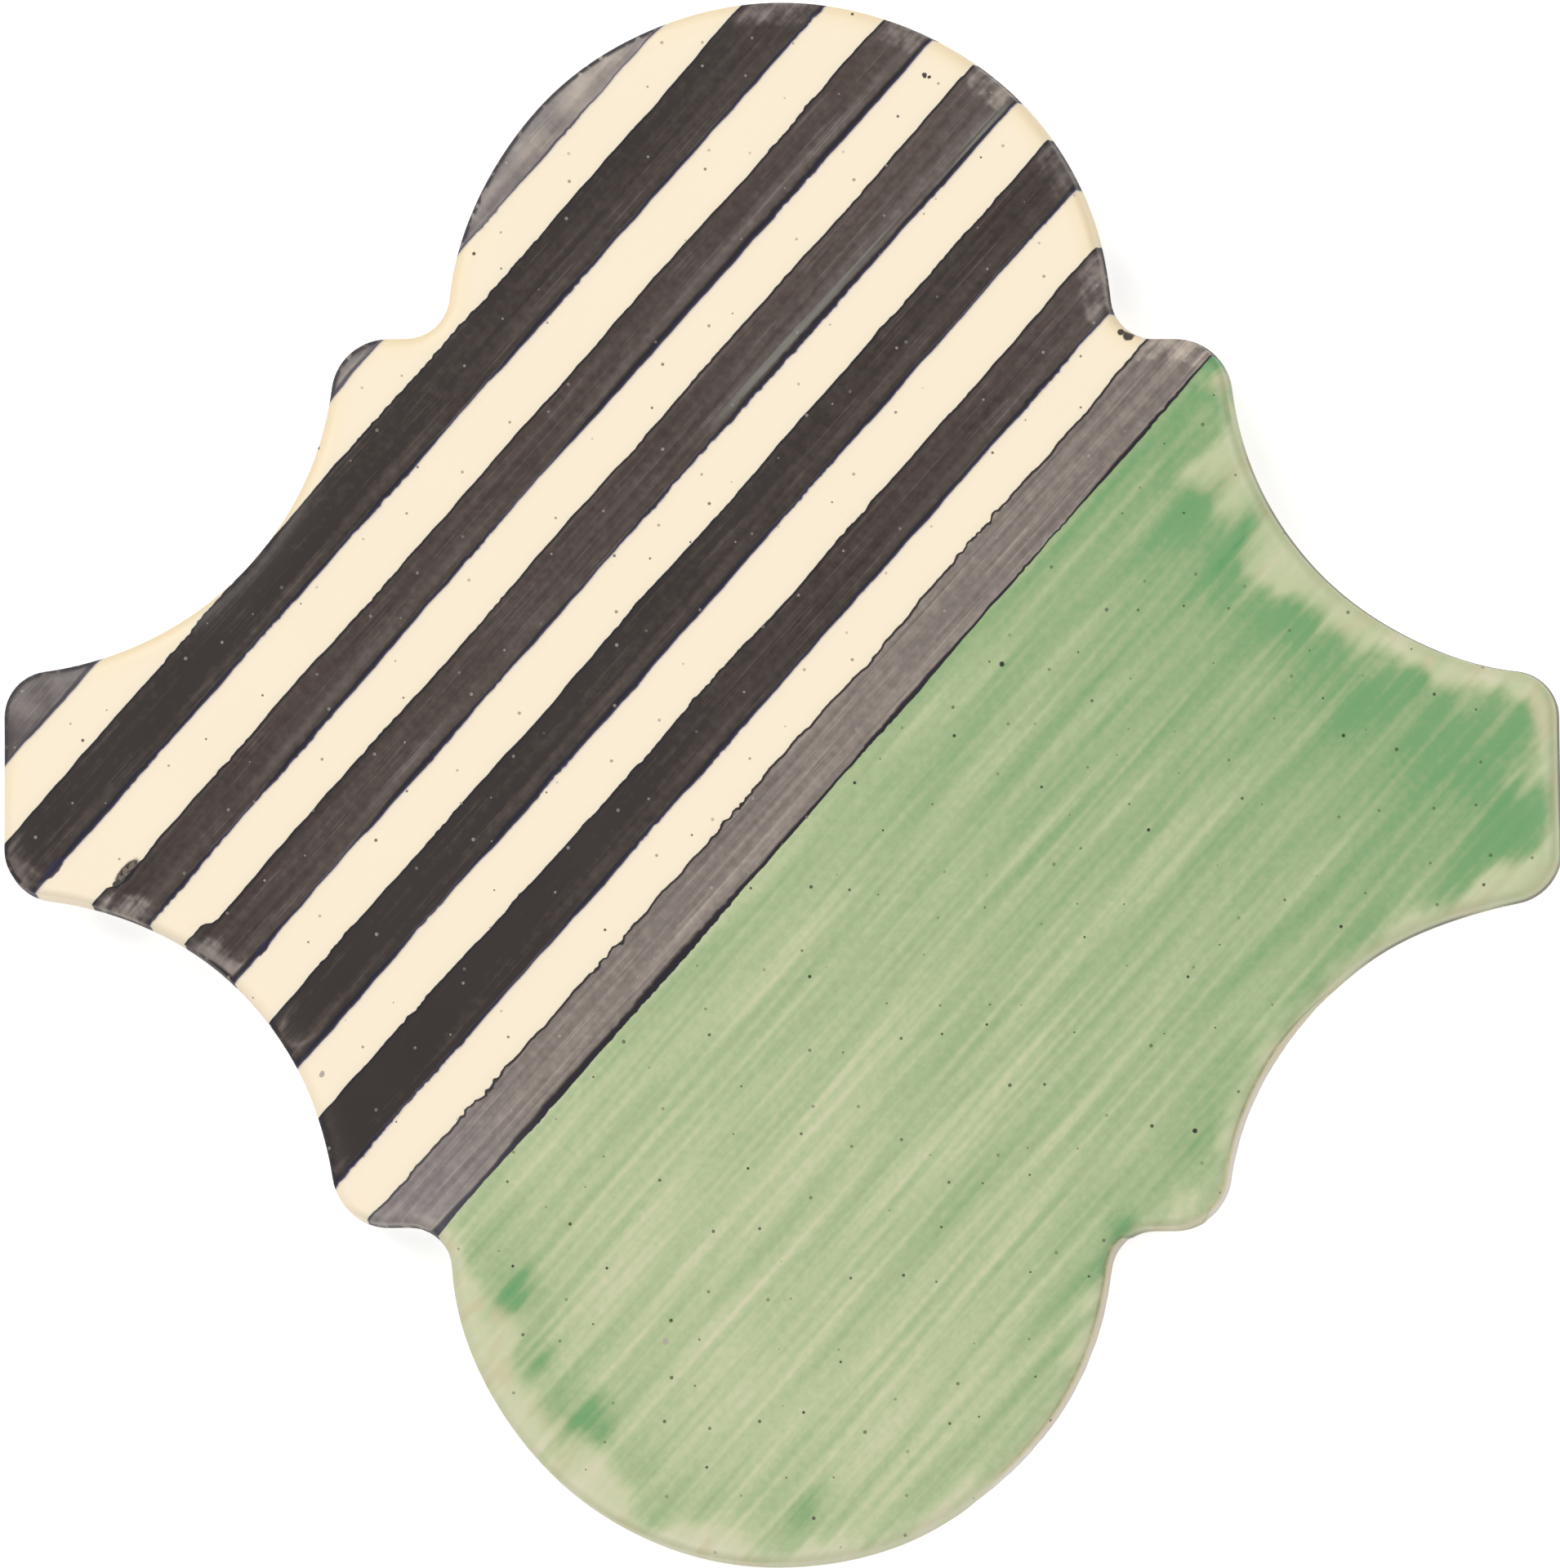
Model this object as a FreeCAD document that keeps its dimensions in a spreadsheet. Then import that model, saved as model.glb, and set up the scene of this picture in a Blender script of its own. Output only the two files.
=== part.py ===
"""Arabesque wall tile, 152 mm over its flat ends: one fired and glazed clay piece that lies on its back.

The outline is a lantern: a round lobe at the top and the bottom, a flat end at the left and the right,
and a scallop in each of the four corners between them, into which a neighbour's lobe fits when the
tiles are laid. A short shoulder joins each lobe to its scallops, and every corner is rounded.

The sides draw in a little from the back to the face, the edge of the face is rolled over, the edge of
the back is broken, and the back has shallow straight grooves that key it into its mortar bed.

Origin: middle of the back. +Z: up, out of the glazed face. +X: along the width, towards a flat end.
+Y: along the height, towards a lobe. Sizes are in millimetres and degrees.
"""

import FreeCAD, Part

import math
import os

import Sketcher

doc = FreeCAD.newDocument("arabesque_tile")

# Every driving dimension, with what it measures
DRIVING = [
    ("tile_width", 152.0, "over the two flat ends, at the back"),
    ("tile_height", 152.8, "over the two lobes, at the back"),
    ("lobe_radius", 32.5, "round end of the top and bottom lobes"),
    ("scallop_radius", 31.8, "hollow curve in each corner"),
    ("flat_end", 12.9, "straight part of the left and right ends"),
    ("shoulder_run", 1.9, "straight part between a lobe's foot and a scallop"),
    ("shoulder_rise", 0.8, "from the line of the scallops' centres up to the shoulder"),
    ("nook_radius", 4.1, "inner corner between a lobe and its shoulder"),
    ("ear_radius", 5.7, "outer corner between a shoulder and a scallop"),
    ("tip_radius", 4.8, "outer corner between a scallop and a flat end"),
    ("tile_thickness", 9.5, "back to face"),
    ("side_draft", 2.5, "lean of the sides from upright, the face being the smaller end"),
    ("rolled_edge", 1.4, "radius of the glazed edge round the face"),
    ("back_arris", 0.5, "bevel round the back"),
    ("key_rim", 9.0, "plain rim left round the grooves of the back"),
    ("key_pitch", 9.0, "from one groove to the next"),
    ("key_mouth", 4.2, "width of a groove at the surface of the back"),
    ("key_floor", 3.2, "width of a groove at its floor"),
    ("key_depth", 0.9, "depth of a groove"),
]

sheet = doc.addObject("Spreadsheet::Sheet", "sizes")
for row, (alias, value, what) in enumerate(DRIVING, start=1):
    sheet.set(f"A{row}", alias)
    sheet.set(f"B{row}", str(value))
    sheet.set(f"C{row}", what)
    sheet.setAlias(f"B{row}", alias)
doc.recompute()


def size(alias):
    """The number that the sheet holds for one driving dimension."""
    return float(sheet.get(alias))


def origin_part(body, role):
    """One of a body's own planes or axes, such as XY_Plane."""
    return next(feature for feature in body.Origin.OriginFeatures if feature.Role == role)


def dimension(sketch, kind, *places, expression):
    """A dimension of a sketch that is bound to the sheet."""
    value = float(sketch.evalExpression(expression))
    constraint = sketch.addConstraint(Sketcher.Constraint(kind, *places, value))
    sketch.setExpression(f"Constraints[{constraint}]", expression)


class Outline:
    """The lantern as a sketch of tangent arcs and lines, clockwise from the top lobe.

    Every piece is drawn where the sheet's sizes put it, and then held there by constraints alone.
    """

    CLOCKWISE, COUNTER = -1, 1
    ORIGIN = (-1, 1)
    ACROSS, UPWARD = -1, -2
    CENTRE = 3

    def __init__(self, body, name):
        self.sketch = body.newObject("Sketcher::SketchObject", name)
        self.sketch.AttachmentSupport = (origin_part(body, "XY_Plane"), [""])
        self.sketch.MapMode = "FlatFace"
        self.quarter = self.quarter_points()
        self.order = []
        self.pieces = {}
        self.draw()
        self.join()
        self.hold()

    def quarter_points(self):
        """Centres and joints of the upper right quarter, from the tangencies of its arcs."""
        lobe_y = size("tile_height") / 2 - size("lobe_radius")
        tip_x = size("tile_width") / 2 - size("tip_radius")
        tip_y = size("flat_end") / 2
        nook_reach = size("lobe_radius") + size("nook_radius")
        ear_reach = size("scallop_radius") + size("ear_radius")
        tip_reach = size("scallop_radius") + size("tip_radius")
        ear_depth = size("ear_radius") - size("shoulder_rise")

        # The shoulder's height follows from the scallop, and the scallop's place from the shoulder
        scallop_y = tip_y + tip_reach
        for _ in range(20):
            shoulder_y = scallop_y + size("shoulder_rise")
            nook_y = shoulder_y + size("nook_radius")
            nook_x = math.sqrt(nook_reach**2 - (nook_y - lobe_y) ** 2)
            ear_x = nook_x + size("shoulder_run")
            scallop_x = ear_x + math.sqrt(ear_reach**2 - ear_depth**2)
            scallop_y = tip_y + math.sqrt(tip_reach**2 - (scallop_x - tip_x) ** 2)

        points = {
            "lobe": FreeCAD.Vector(0, lobe_y, 0),
            "nook": FreeCAD.Vector(nook_x, nook_y, 0),
            "shoulder_in": FreeCAD.Vector(nook_x, shoulder_y, 0),
            "shoulder_out": FreeCAD.Vector(ear_x, shoulder_y, 0),
            "ear": FreeCAD.Vector(ear_x, shoulder_y - size("ear_radius"), 0),
            "scallop": FreeCAD.Vector(scallop_x, scallop_y, 0),
            "tip": FreeCAD.Vector(tip_x, tip_y, 0),
            "flat": FreeCAD.Vector(size("tile_width") / 2, tip_y, 0),
        }
        touches = {
            "foot": ("lobe", "nook", size("lobe_radius") / nook_reach),
            "brow": ("scallop", "ear", size("scallop_radius") / ear_reach),
            "heel": ("scallop", "tip", size("scallop_radius") / tip_reach),
        }
        for name, (first, second, share) in touches.items():
            points[name] = points[first] + (points[second] - points[first]) * share
        return points

    def at(self, name, sx, sy):
        """A point of the quarter, mirrored into the corner that the two signs give."""
        return FreeCAD.Vector(self.quarter[name].x * sx, self.quarter[name].y * sy, 0)

    def line(self, name, first, last):
        """A straight piece of the outline."""
        piece = self.sketch.addGeometry(Part.LineSegment(first, last), False)
        self.pieces[name] = piece
        self.order.append((piece, 1, 2))

    def arc(self, name, centre, first, last, turn):
        """A round piece of the outline, one way round its centre from its first point to its last."""
        start, end = (math.atan2(point.y - centre.y, point.x - centre.x) for point in (first, last))
        circle = Part.Circle(centre, FreeCAD.Vector(0, 0, 1), (first - centre).Length)
        low, high = (start, end) if turn == self.COUNTER else (end, start)
        piece = self.sketch.addGeometry(Part.ArcOfCircle(circle, low, high), False)
        self.pieces[name] = piece
        self.order.append((piece, 1, 2) if turn == self.COUNTER else (piece, 2, 1))

    def corner(self, sx, sy):
        """Nook, shoulder, ear, scallop and tip of one corner, in clockwise order."""
        steps = [
            ("nook", "foot", "shoulder_in", self.COUNTER),
            ("shoulder", "shoulder_in", "shoulder_out", None),
            ("ear", "shoulder_out", "brow", self.CLOCKWISE),
            ("scallop", "brow", "heel", self.COUNTER),
            ("tip", "heel", "flat", self.CLOCKWISE),
        ]
        if sx != sy:
            steps = [(name, last, first, turn) for name, first, last, turn in reversed(steps)]
        for name, first, last, turn in steps:
            ends = self.at(first, sx, sy), self.at(last, sx, sy)
            if turn is None:
                self.line((name, sx, sy), *ends)
            else:
                self.arc((name, sx, sy), self.at(name, sx, sy), *ends, turn)

    def draw(self):
        """The top lobe and the right side, then the same again for the bottom lobe and the left."""
        for side in (1, -1):
            lobe = self.at("lobe", side, side)
            feet = self.at("foot", -side, side), self.at("foot", side, side)
            self.arc(("lobe", side), lobe, *feet, self.CLOCKWISE)
            self.corner(side, side)
            self.line(("flat", side), self.at("flat", side, side), self.at("flat", side, -side))
            self.corner(side, -side)

    def join(self):
        """Each piece runs into the next without a corner."""
        following = self.order[1:] + self.order[:1]
        for (piece, _, last), (other, first, _) in zip(self.order, following):
            self.sketch.addConstraint(Sketcher.Constraint("Tangent", piece, last, other, first))

    def equal(self, kind, measure, expression):
        """The first piece of a kind gets the dimension, and the others are equal to it."""
        first, *others = [piece for name, piece in self.pieces.items() if name[0] == kind]
        dimension(self.sketch, measure, first, expression=expression)
        for other in others:
            self.sketch.addConstraint(Sketcher.Constraint("Equal", first, other))

    def offset(self, kind, first, second, sign, expression):
        """A distance across or upward between two points, from the first to the second if positive."""
        places = (*first, *second) if sign > 0 else (*second, *first)
        dimension(self.sketch, kind, *places, expression=expression)

    def hold(self):
        """Radii, lengths and places, until nothing is left free."""
        for kind in ("lobe", "scallop", "nook", "ear", "tip"):
            self.equal(kind, "Radius", f"sizes.{kind}_radius")
        self.equal("shoulder", "Distance", "sizes.shoulder_run")
        self.equal("flat", "Distance", "sizes.flat_end")
        for side in (1, -1):
            lobe = (self.pieces["lobe", side], self.CENTRE)
            flat = self.pieces["flat", side]
            self.sketch.addConstraint(Sketcher.Constraint("PointOnObject", *lobe, self.UPWARD))
            self.offset("DistanceY", self.ORIGIN, lobe, side, "sizes.tile_height / 2 - sizes.lobe_radius")
            self.sketch.addConstraint(Sketcher.Constraint("Symmetric", flat, 1, flat, 2, self.ACROSS))
            self.offset("DistanceX", self.ORIGIN, (flat, 1), side, "sizes.tile_width / 2")
        for sx, sy in ((1, 1), (1, -1), (-1, -1), (-1, 1)):
            shoulder = self.pieces["shoulder", sx, sy]
            scallop = (self.pieces["scallop", sx, sy], self.CENTRE)
            self.sketch.addConstraint(Sketcher.Constraint("Horizontal", shoulder))
            self.offset("DistanceY", scallop, (shoulder, 1), sy, "sizes.shoulder_rise")


def bind(feature, **expressions):
    """Bind properties of a feature to expressions on the sheet."""
    for name, expression in expressions.items():
        feature.setExpression(name, expression)


def groove_section(body, offset):
    """The section of one groove across the back, as far below the middle of the tile as offset says."""
    sketch = body.newObject("Sketcher::SketchObject", "groove_section")
    sketch.AttachmentSupport = (origin_part(body, "YZ_Plane"), [""])
    sketch.MapMode = "FlatFace"
    middle = -float(sketch.evalExpression(offset))
    mouth, floor, depth = size("key_mouth"), size("key_floor"), size("key_depth")
    corners = [
        FreeCAD.Vector(middle - mouth / 2, 0, 0),
        FreeCAD.Vector(middle + mouth / 2, 0, 0),
        FreeCAD.Vector(middle + floor / 2, depth, 0),
        FreeCAD.Vector(middle - floor / 2, depth, 0),
    ]
    opening, right, bottom, left = [
        sketch.addGeometry(Part.LineSegment(first, last), False)
        for first, last in zip(corners, corners[1:] + corners[:1])
    ]
    centre = sketch.addGeometry(Part.Point(FreeCAD.Vector(middle, 0, 0)), True)
    for first, last in ((opening, right), (right, bottom), (bottom, left), (left, opening)):
        sketch.addConstraint(Sketcher.Constraint("Coincident", first, 2, last, 1))
    sketch.addConstraint(Sketcher.Constraint("PointOnObject", opening, 1, Outline.ACROSS))
    sketch.addConstraint(Sketcher.Constraint("Horizontal", opening))
    sketch.addConstraint(Sketcher.Constraint("Horizontal", bottom))
    sketch.addConstraint(Sketcher.Constraint("Symmetric", opening, 1, opening, 2, centre, 1))
    sketch.addConstraint(Sketcher.Constraint("Equal", left, right))
    dimension(sketch, "Distance", opening, expression="sizes.key_mouth")
    dimension(sketch, "Distance", bottom, expression="sizes.key_floor")
    dimension(sketch, "DistanceY", right, 1, right, 2, expression="sizes.key_depth")
    dimension(sketch, "DistanceX", centre, 1, *Outline.ORIGIN, expression=offset)
    return sketch


def edges_at(feature, height):
    """Names of the edges that lie flat at one height."""
    level = [
        abs(edge.BoundBox.ZMin - height) < 1e-6 and abs(edge.BoundBox.ZMax - height) < 1e-6
        for edge in feature.Shape.Edges
    ]
    return [f"Edge{number}" for number, flat in enumerate(level, start=1) if flat]


# The blank: the outline raised to a face that is a little smaller than the back
blank = doc.addObject("PartDesign::Body", "tile_blank")
outline = Outline(blank, "lantern_outline").sketch
slab = blank.newObject("PartDesign::Pad", "slab")
slab.Profile = outline
bind(slab, Length="sizes.tile_thickness", TaperAngle="-sizes.side_draft")
doc.recompute()

rolled = blank.newObject("PartDesign::Fillet", "rolled_face_edge")
rolled.Base = (slab, edges_at(slab, size("tile_thickness")))
bind(rolled, Radius="sizes.rolled_edge")
doc.recompute()

broken = blank.newObject("PartDesign::Chamfer", "broken_back_edge")
broken.Base = (rolled, edges_at(rolled, 0))
bind(broken, Size="sizes.back_arris")
doc.recompute()

# The field that the grooves fill: the same outline, drawn in by the plain rim
field = doc.addObject("PartDesign::Body", "key_field")
field_outline = field.newObject("PartDesign::SubShapeBinder", "field_outline")
field_outline.Support = [(outline, ("",))]
bind(field_outline, Offset="-sizes.key_rim")
doc.recompute()
field_pad = field.newObject("PartDesign::Pad", "field_pad")
field_pad.Profile = field_outline
bind(field_pad, Length="2 * sizes.key_depth")
doc.recompute()

# The grooves: one bar across the back, repeated up it, as many on each side of the middle as fit
BESIDE = "floor((sizes.tile_height / 2 - sizes.key_rim - sizes.key_mouth / 2) / sizes.key_pitch)"
comb = doc.addObject("PartDesign::Body", "groove_comb")
comb.AllowCompound = True
bar = comb.newObject("PartDesign::Pad", "bar")
bar.Profile = groove_section(comb, f"{BESIDE} * sizes.key_pitch")
bar.SideType = "Symmetric"
bind(bar, Length="sizes.tile_width")
doc.recompute()
bars = comb.newObject("PartDesign::LinearPattern", "bars")
bars.Originals = [bar]
bars.Direction = (origin_part(comb, "Y_Axis"), [""])
bars.Mode = "Spacing"
bind(bars, Offset="sizes.key_pitch", Occurrences=f"2 * {BESIDE} + 1")
comb.Tip = bars
doc.recompute()

keys = doc.addObject("Part::Common", "back_keys")
keys.Base = comb
keys.Tool = field
tile = doc.addObject("Part::Cut", "keyed_tile")
tile.Base = blank
tile.Tool = keys
tile.Label = "arabesque_tile"
doc.recompute()

for thing in doc.Objects:
    if {"Invalid", "Error"} & set(thing.State):
        raise RuntimeError(f"{thing.Label} did not build: {thing.State}")
    if thing.TypeId == "Sketcher::SketchObject" and not thing.FullyConstrained:
        raise RuntimeError(f"{thing.Label} is not held by its dimensions")
if tile.Shape.isNull() or not tile.Shape.isValid() or len(tile.Shape.Solids) != 1:
    raise RuntimeError(f"{tile.Label} is not one sound solid")
if not blank.Shape.Volume - keys.Shape.Volume - 1 < tile.Shape.Volume < blank.Shape.Volume:
    raise RuntimeError("the grooves did not cut the back")

os.makedirs("parts", exist_ok=True)
tile.Shape.exportStep(f"parts/{tile.Label}.step")
print(f"{tile.Label}: {tile.Shape.Volume / 1000:.1f} cm3, grooves {keys.Shape.Volume / 1000:.2f} cm3")
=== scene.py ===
"""Hand-painted arabesque wall tile, lying on its back on a pale floor.

The tile is a pressed clay body with a coat of glaze melted over its face. The face is painted with
broad brush strokes that run from the lower left to the upper right: dark strokes over the cream glaze
of the upper left half, and a thin green wash over the lower right half.

Lengths are in millimetres up to the point where a mesh is made, which is in metres.
"""

import logging
import math
from abc import ABC, abstractmethod
from dataclasses import dataclass
from enum import Enum
from typing import Callable, Sequence

import bpy
import numpy as np
from mathutils import Matrix, Vector, noise
from mathutils.geometry import delaunay_2d_cdt


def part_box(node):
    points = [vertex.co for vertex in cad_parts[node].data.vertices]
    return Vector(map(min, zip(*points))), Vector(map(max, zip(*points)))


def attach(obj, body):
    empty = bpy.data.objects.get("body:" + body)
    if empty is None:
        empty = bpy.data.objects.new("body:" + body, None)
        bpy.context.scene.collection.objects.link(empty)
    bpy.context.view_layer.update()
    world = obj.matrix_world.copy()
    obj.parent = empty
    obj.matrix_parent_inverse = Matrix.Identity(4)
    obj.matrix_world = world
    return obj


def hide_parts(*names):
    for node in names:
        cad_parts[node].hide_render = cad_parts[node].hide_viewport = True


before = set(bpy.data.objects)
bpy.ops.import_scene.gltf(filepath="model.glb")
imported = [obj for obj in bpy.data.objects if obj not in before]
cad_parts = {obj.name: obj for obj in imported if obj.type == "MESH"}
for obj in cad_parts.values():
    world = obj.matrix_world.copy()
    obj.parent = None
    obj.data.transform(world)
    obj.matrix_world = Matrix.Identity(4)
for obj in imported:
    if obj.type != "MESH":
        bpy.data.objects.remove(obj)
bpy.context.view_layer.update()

Colour = tuple[int, int, int]
Value = float | tuple[float, ...] | bpy.types.NodeSocket

LOG = logging.getLogger("arabesque_tile")
MM = 0.001
NODE = "arabesque_tile"
BAKE_MAP = "OFBake"
RIM_ATTRIBUTE = "rim_mm"


class Corner(Enum):
    """The four corners of the outline, by the signs of their places across and up."""

    UPPER_RIGHT = (1, 1)
    LOWER_RIGHT = (1, -1)
    LOWER_LEFT = (-1, -1)
    UPPER_LEFT = (-1, 1)


class Turn(Enum):
    """Which way a piece of the outline bends while it is followed clockwise."""

    OUTWARD = -1
    INWARD = 1
    STRAIGHT = 0


@dataclass(frozen=True)
class Photo:
    """The photograph's frame, with the middle of the tile's face and its scale."""

    middle_x: float = 952.5
    middle_y: float = 957.5
    mm_per_pixel: float = 152.0 / 1905

    def place(self, x: float, y: float) -> tuple[float, float]:
        """Place on the face of a pixel of the photograph.

        Args:
            x: pixels from the left edge.
            y: pixels from the top edge.

        Returns:
            Millimetres across and up from the middle of the tile.
        """
        return (x - self.middle_x) * self.mm_per_pixel, (self.middle_y - y) * self.mm_per_pixel


PHOTO = Photo()


def linear(colour: Colour) -> tuple[float, float, float, float]:
    """Turn a display colour into the linear colour that a shader socket takes.

    Args:
        colour: red, green and blue from 0 to 255.

    Returns:
        Linear red, green, blue and an alpha of 1.
    """
    parts = [part / 255 for part in colour]
    red, green, blue = (p / 12.92 if p <= 0.04045 else ((p + 0.055) / 1.055) ** 2.4 for p in parts)
    return red, green, blue, 1.0


def smooth_step(value: np.ndarray, low: float, high: float) -> np.ndarray:
    """Rise smoothly from 0 at low to 1 at high."""
    share = np.clip((value - low) / (high - low), 0, 1)
    return share * share * (3 - 2 * share)


def wander(points: np.ndarray, period: float, seed: float) -> np.ndarray:
    """Smooth noise over places, the same on every run.

    Args:
        points: one row of two or three millimetres for each place.
        period: size of the noise's features, in millimetres.
        seed: moves the noise, so that two uses of it differ.

    Returns:
        One number for each place, from about -1 to 1.
    """
    rows = np.zeros((len(points), 3))
    rows[:, : points.shape[1]] = points / period
    return np.array([noise.noise(Vector(row) + Vector((seed, seed * 0.7, -seed))) for row in rows])


@dataclass(frozen=True)
class Lantern:
    """Outline of the tile at its back, as tangent arcs and lines.

    The overall width and height come from the frame. The rest are the sizes of the tile's own arcs.
    """

    width: float
    height: float
    lobe_radius: float = 32.5
    scallop_radius: float = 31.8
    flat_end: float = 12.9
    shoulder_run: float = 1.9
    shoulder_rise: float = 0.8
    nook_radius: float = 4.1
    ear_radius: float = 5.7
    tip_radius: float = 4.8

    def quarter(self) -> dict[str, np.ndarray]:
        """Work out the centres of the upper right quarter's arcs and the ends of its pieces.

        Returns:
            Places by name, in millimetres.
        """
        lobe_y = self.height / 2 - self.lobe_radius
        tip_x, tip_y = self.width / 2 - self.tip_radius, self.flat_end / 2
        nook_reach = self.lobe_radius + self.nook_radius
        ear_reach = self.scallop_radius + self.ear_radius
        tip_reach = self.scallop_radius + self.tip_radius
        ear_depth = self.ear_radius - self.shoulder_rise
        scallop_y = tip_y + tip_reach
        for _ in range(20):
            shoulder_y = scallop_y + self.shoulder_rise
            nook_y = shoulder_y + self.nook_radius
            nook_x = math.sqrt(nook_reach**2 - (nook_y - lobe_y) ** 2)
            ear_x = nook_x + self.shoulder_run
            scallop_x = ear_x + math.sqrt(ear_reach**2 - ear_depth**2)
            scallop_y = tip_y + math.sqrt(tip_reach**2 - (scallop_x - tip_x) ** 2)
        places = {
            "lobe": (0.0, lobe_y),
            "nook": (nook_x, nook_y),
            "shoulder_in": (nook_x, shoulder_y),
            "shoulder_out": (ear_x, shoulder_y),
            "ear": (ear_x, shoulder_y - self.ear_radius),
            "scallop": (scallop_x, scallop_y),
            "tip": (tip_x, tip_y),
            "flat": (self.width / 2, tip_y),
        }
        points = {name: np.array(place) for name, place in places.items()}
        for name, first, second, share in (
            ("foot", "lobe", "nook", self.lobe_radius / nook_reach),
            ("brow", "scallop", "ear", self.scallop_radius / ear_reach),
            ("heel", "scallop", "tip", self.scallop_radius / tip_reach),
        ):
            points[name] = points[first] + (points[second] - points[first]) * share
        return points

    def walk(self, step: float) -> tuple[np.ndarray, np.ndarray]:
        """Follow the outline clockwise from the top lobe's left foot.

        Args:
            step: greatest distance from one place to the next, in millimetres.

        Returns:
            The places and the directions that point straight out of the tile there.
        """
        quarter = self.quarter()
        steps = (
            ("nook", "foot", "shoulder_in", Turn.INWARD),
            ("shoulder", "shoulder_in", "shoulder_out", Turn.STRAIGHT),
            ("ear", "shoulder_out", "brow", Turn.OUTWARD),
            ("scallop", "brow", "heel", Turn.INWARD),
            ("tip", "heel", "flat", Turn.OUTWARD),
        )
        places: list[np.ndarray] = []
        normals: list[np.ndarray] = []

        def follow(centre: np.ndarray, first: np.ndarray, last: np.ndarray, turn: Turn) -> None:
            """Add one piece, without its last place."""
            if turn is Turn.STRAIGHT:
                count = max(2, round(float(np.linalg.norm(last - first)) / step))
                along = (last - first) / np.linalg.norm(last - first)
                share = np.arange(count)[:, None] / count
                places.append(first + (last - first) * share)
                normals.append(np.repeat([[-along[1], along[0]]], count, axis=0))
                return
            start, end = (math.atan2(*(point - centre)[::-1]) for point in (first, last))
            swing = (end - start) * turn.value % (2 * math.pi) * turn.value
            radius = float(np.linalg.norm(first - centre))
            count = max(3, round(abs(swing) * radius / step))
            angle = start + swing * np.arange(count) / count
            ray = np.stack([np.cos(angle), np.sin(angle)], axis=1)
            places.append(centre + ray * radius)
            normals.append(ray * -turn.value)

        for side in (1, -1):
            mirror = np.array([side, side])
            foot = quarter["foot"] * mirror
            follow(quarter["lobe"] * mirror, foot * [-1, 1], foot, Turn.OUTWARD)
            for corner in (Corner((side, side)), Corner((side, -side))):
                signs = np.array(corner.value)
                ordered = steps
                if corner.value[0] != corner.value[1]:
                    ordered = tuple((n, last, first, turn) for n, first, last, turn in reversed(steps))
                    flat = quarter["flat"] * mirror
                    follow(flat, flat, flat * [1, -1], Turn.STRAIGHT)
                for name, first, last, turn in ordered:
                    centre = quarter.get(name, quarter["flat"]) * signs
                    follow(centre, quarter[first] * signs, quarter[last] * signs, turn)
        return np.concatenate(places), np.concatenate(normals)


@dataclass(frozen=True)
class Swell:
    """A place where the hand-made outline leaves its arcs."""

    x: float
    y: float
    reach: float
    height: float

    def lift(self, places: np.ndarray) -> np.ndarray:
        """How far out of the arcs the outline stands at some places."""
        away = np.hypot(places[:, 0] - self.x, places[:, 1] - self.y)
        return self.height * np.exp(-((away / self.reach) ** 2))


@dataclass(frozen=True)
class Rim:
    """The outline with its hand-made unevenness, from which every ring of the tile is drawn in."""

    lantern: Lantern
    step: float = 0.6
    uneven: float = 0.12
    uneven_period: float = 14.0
    swells: tuple[Swell, ...] = (
        Swell(-36.5, -41.0, 7.0, -0.5),
        Swell(33.0, 47.5, 7.0, -0.3),
        Swell(69.0, 11.0, 9.0, -0.3),
        Swell(48.0, 24.0, 12.0, -0.15),
        Swell(-34.0, 47.0, 8.0, 0.2),
        Swell(-66.0, 12.0, 9.0, 0.12),
        Swell(22.0, -70.0, 12.0, -0.15),
        Swell(-56.0, -18.0, 12.0, -0.15),
        Swell(67.0, -13.0, 9.0, 0.65),
        Swell(56.0, -24.0, 11.0, 0.65),
        Swell(-63.0, 20.0, 8.0, 0.22),
        Swell(22.0, 68.0, 9.0, 0.2),
    )

    @property
    def half(self) -> np.ndarray:
        """Half the tile's width and half its height, which no place lies beyond."""
        return np.array([self.lantern.width, self.lantern.height]) / 2

    def trace(self) -> tuple[np.ndarray, np.ndarray]:
        """Places along the uneven outline and the directions out of the tile there."""
        places, normals = self.lantern.walk(self.step)
        lift = self.uneven * wander(places, self.uneven_period, 3.0) - self.uneven / 2
        for swell in self.swells:
            lift += swell.lift(places)
        places = places + normals * lift[:, None]
        return np.clip(places, -self.half, self.half), normals


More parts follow.
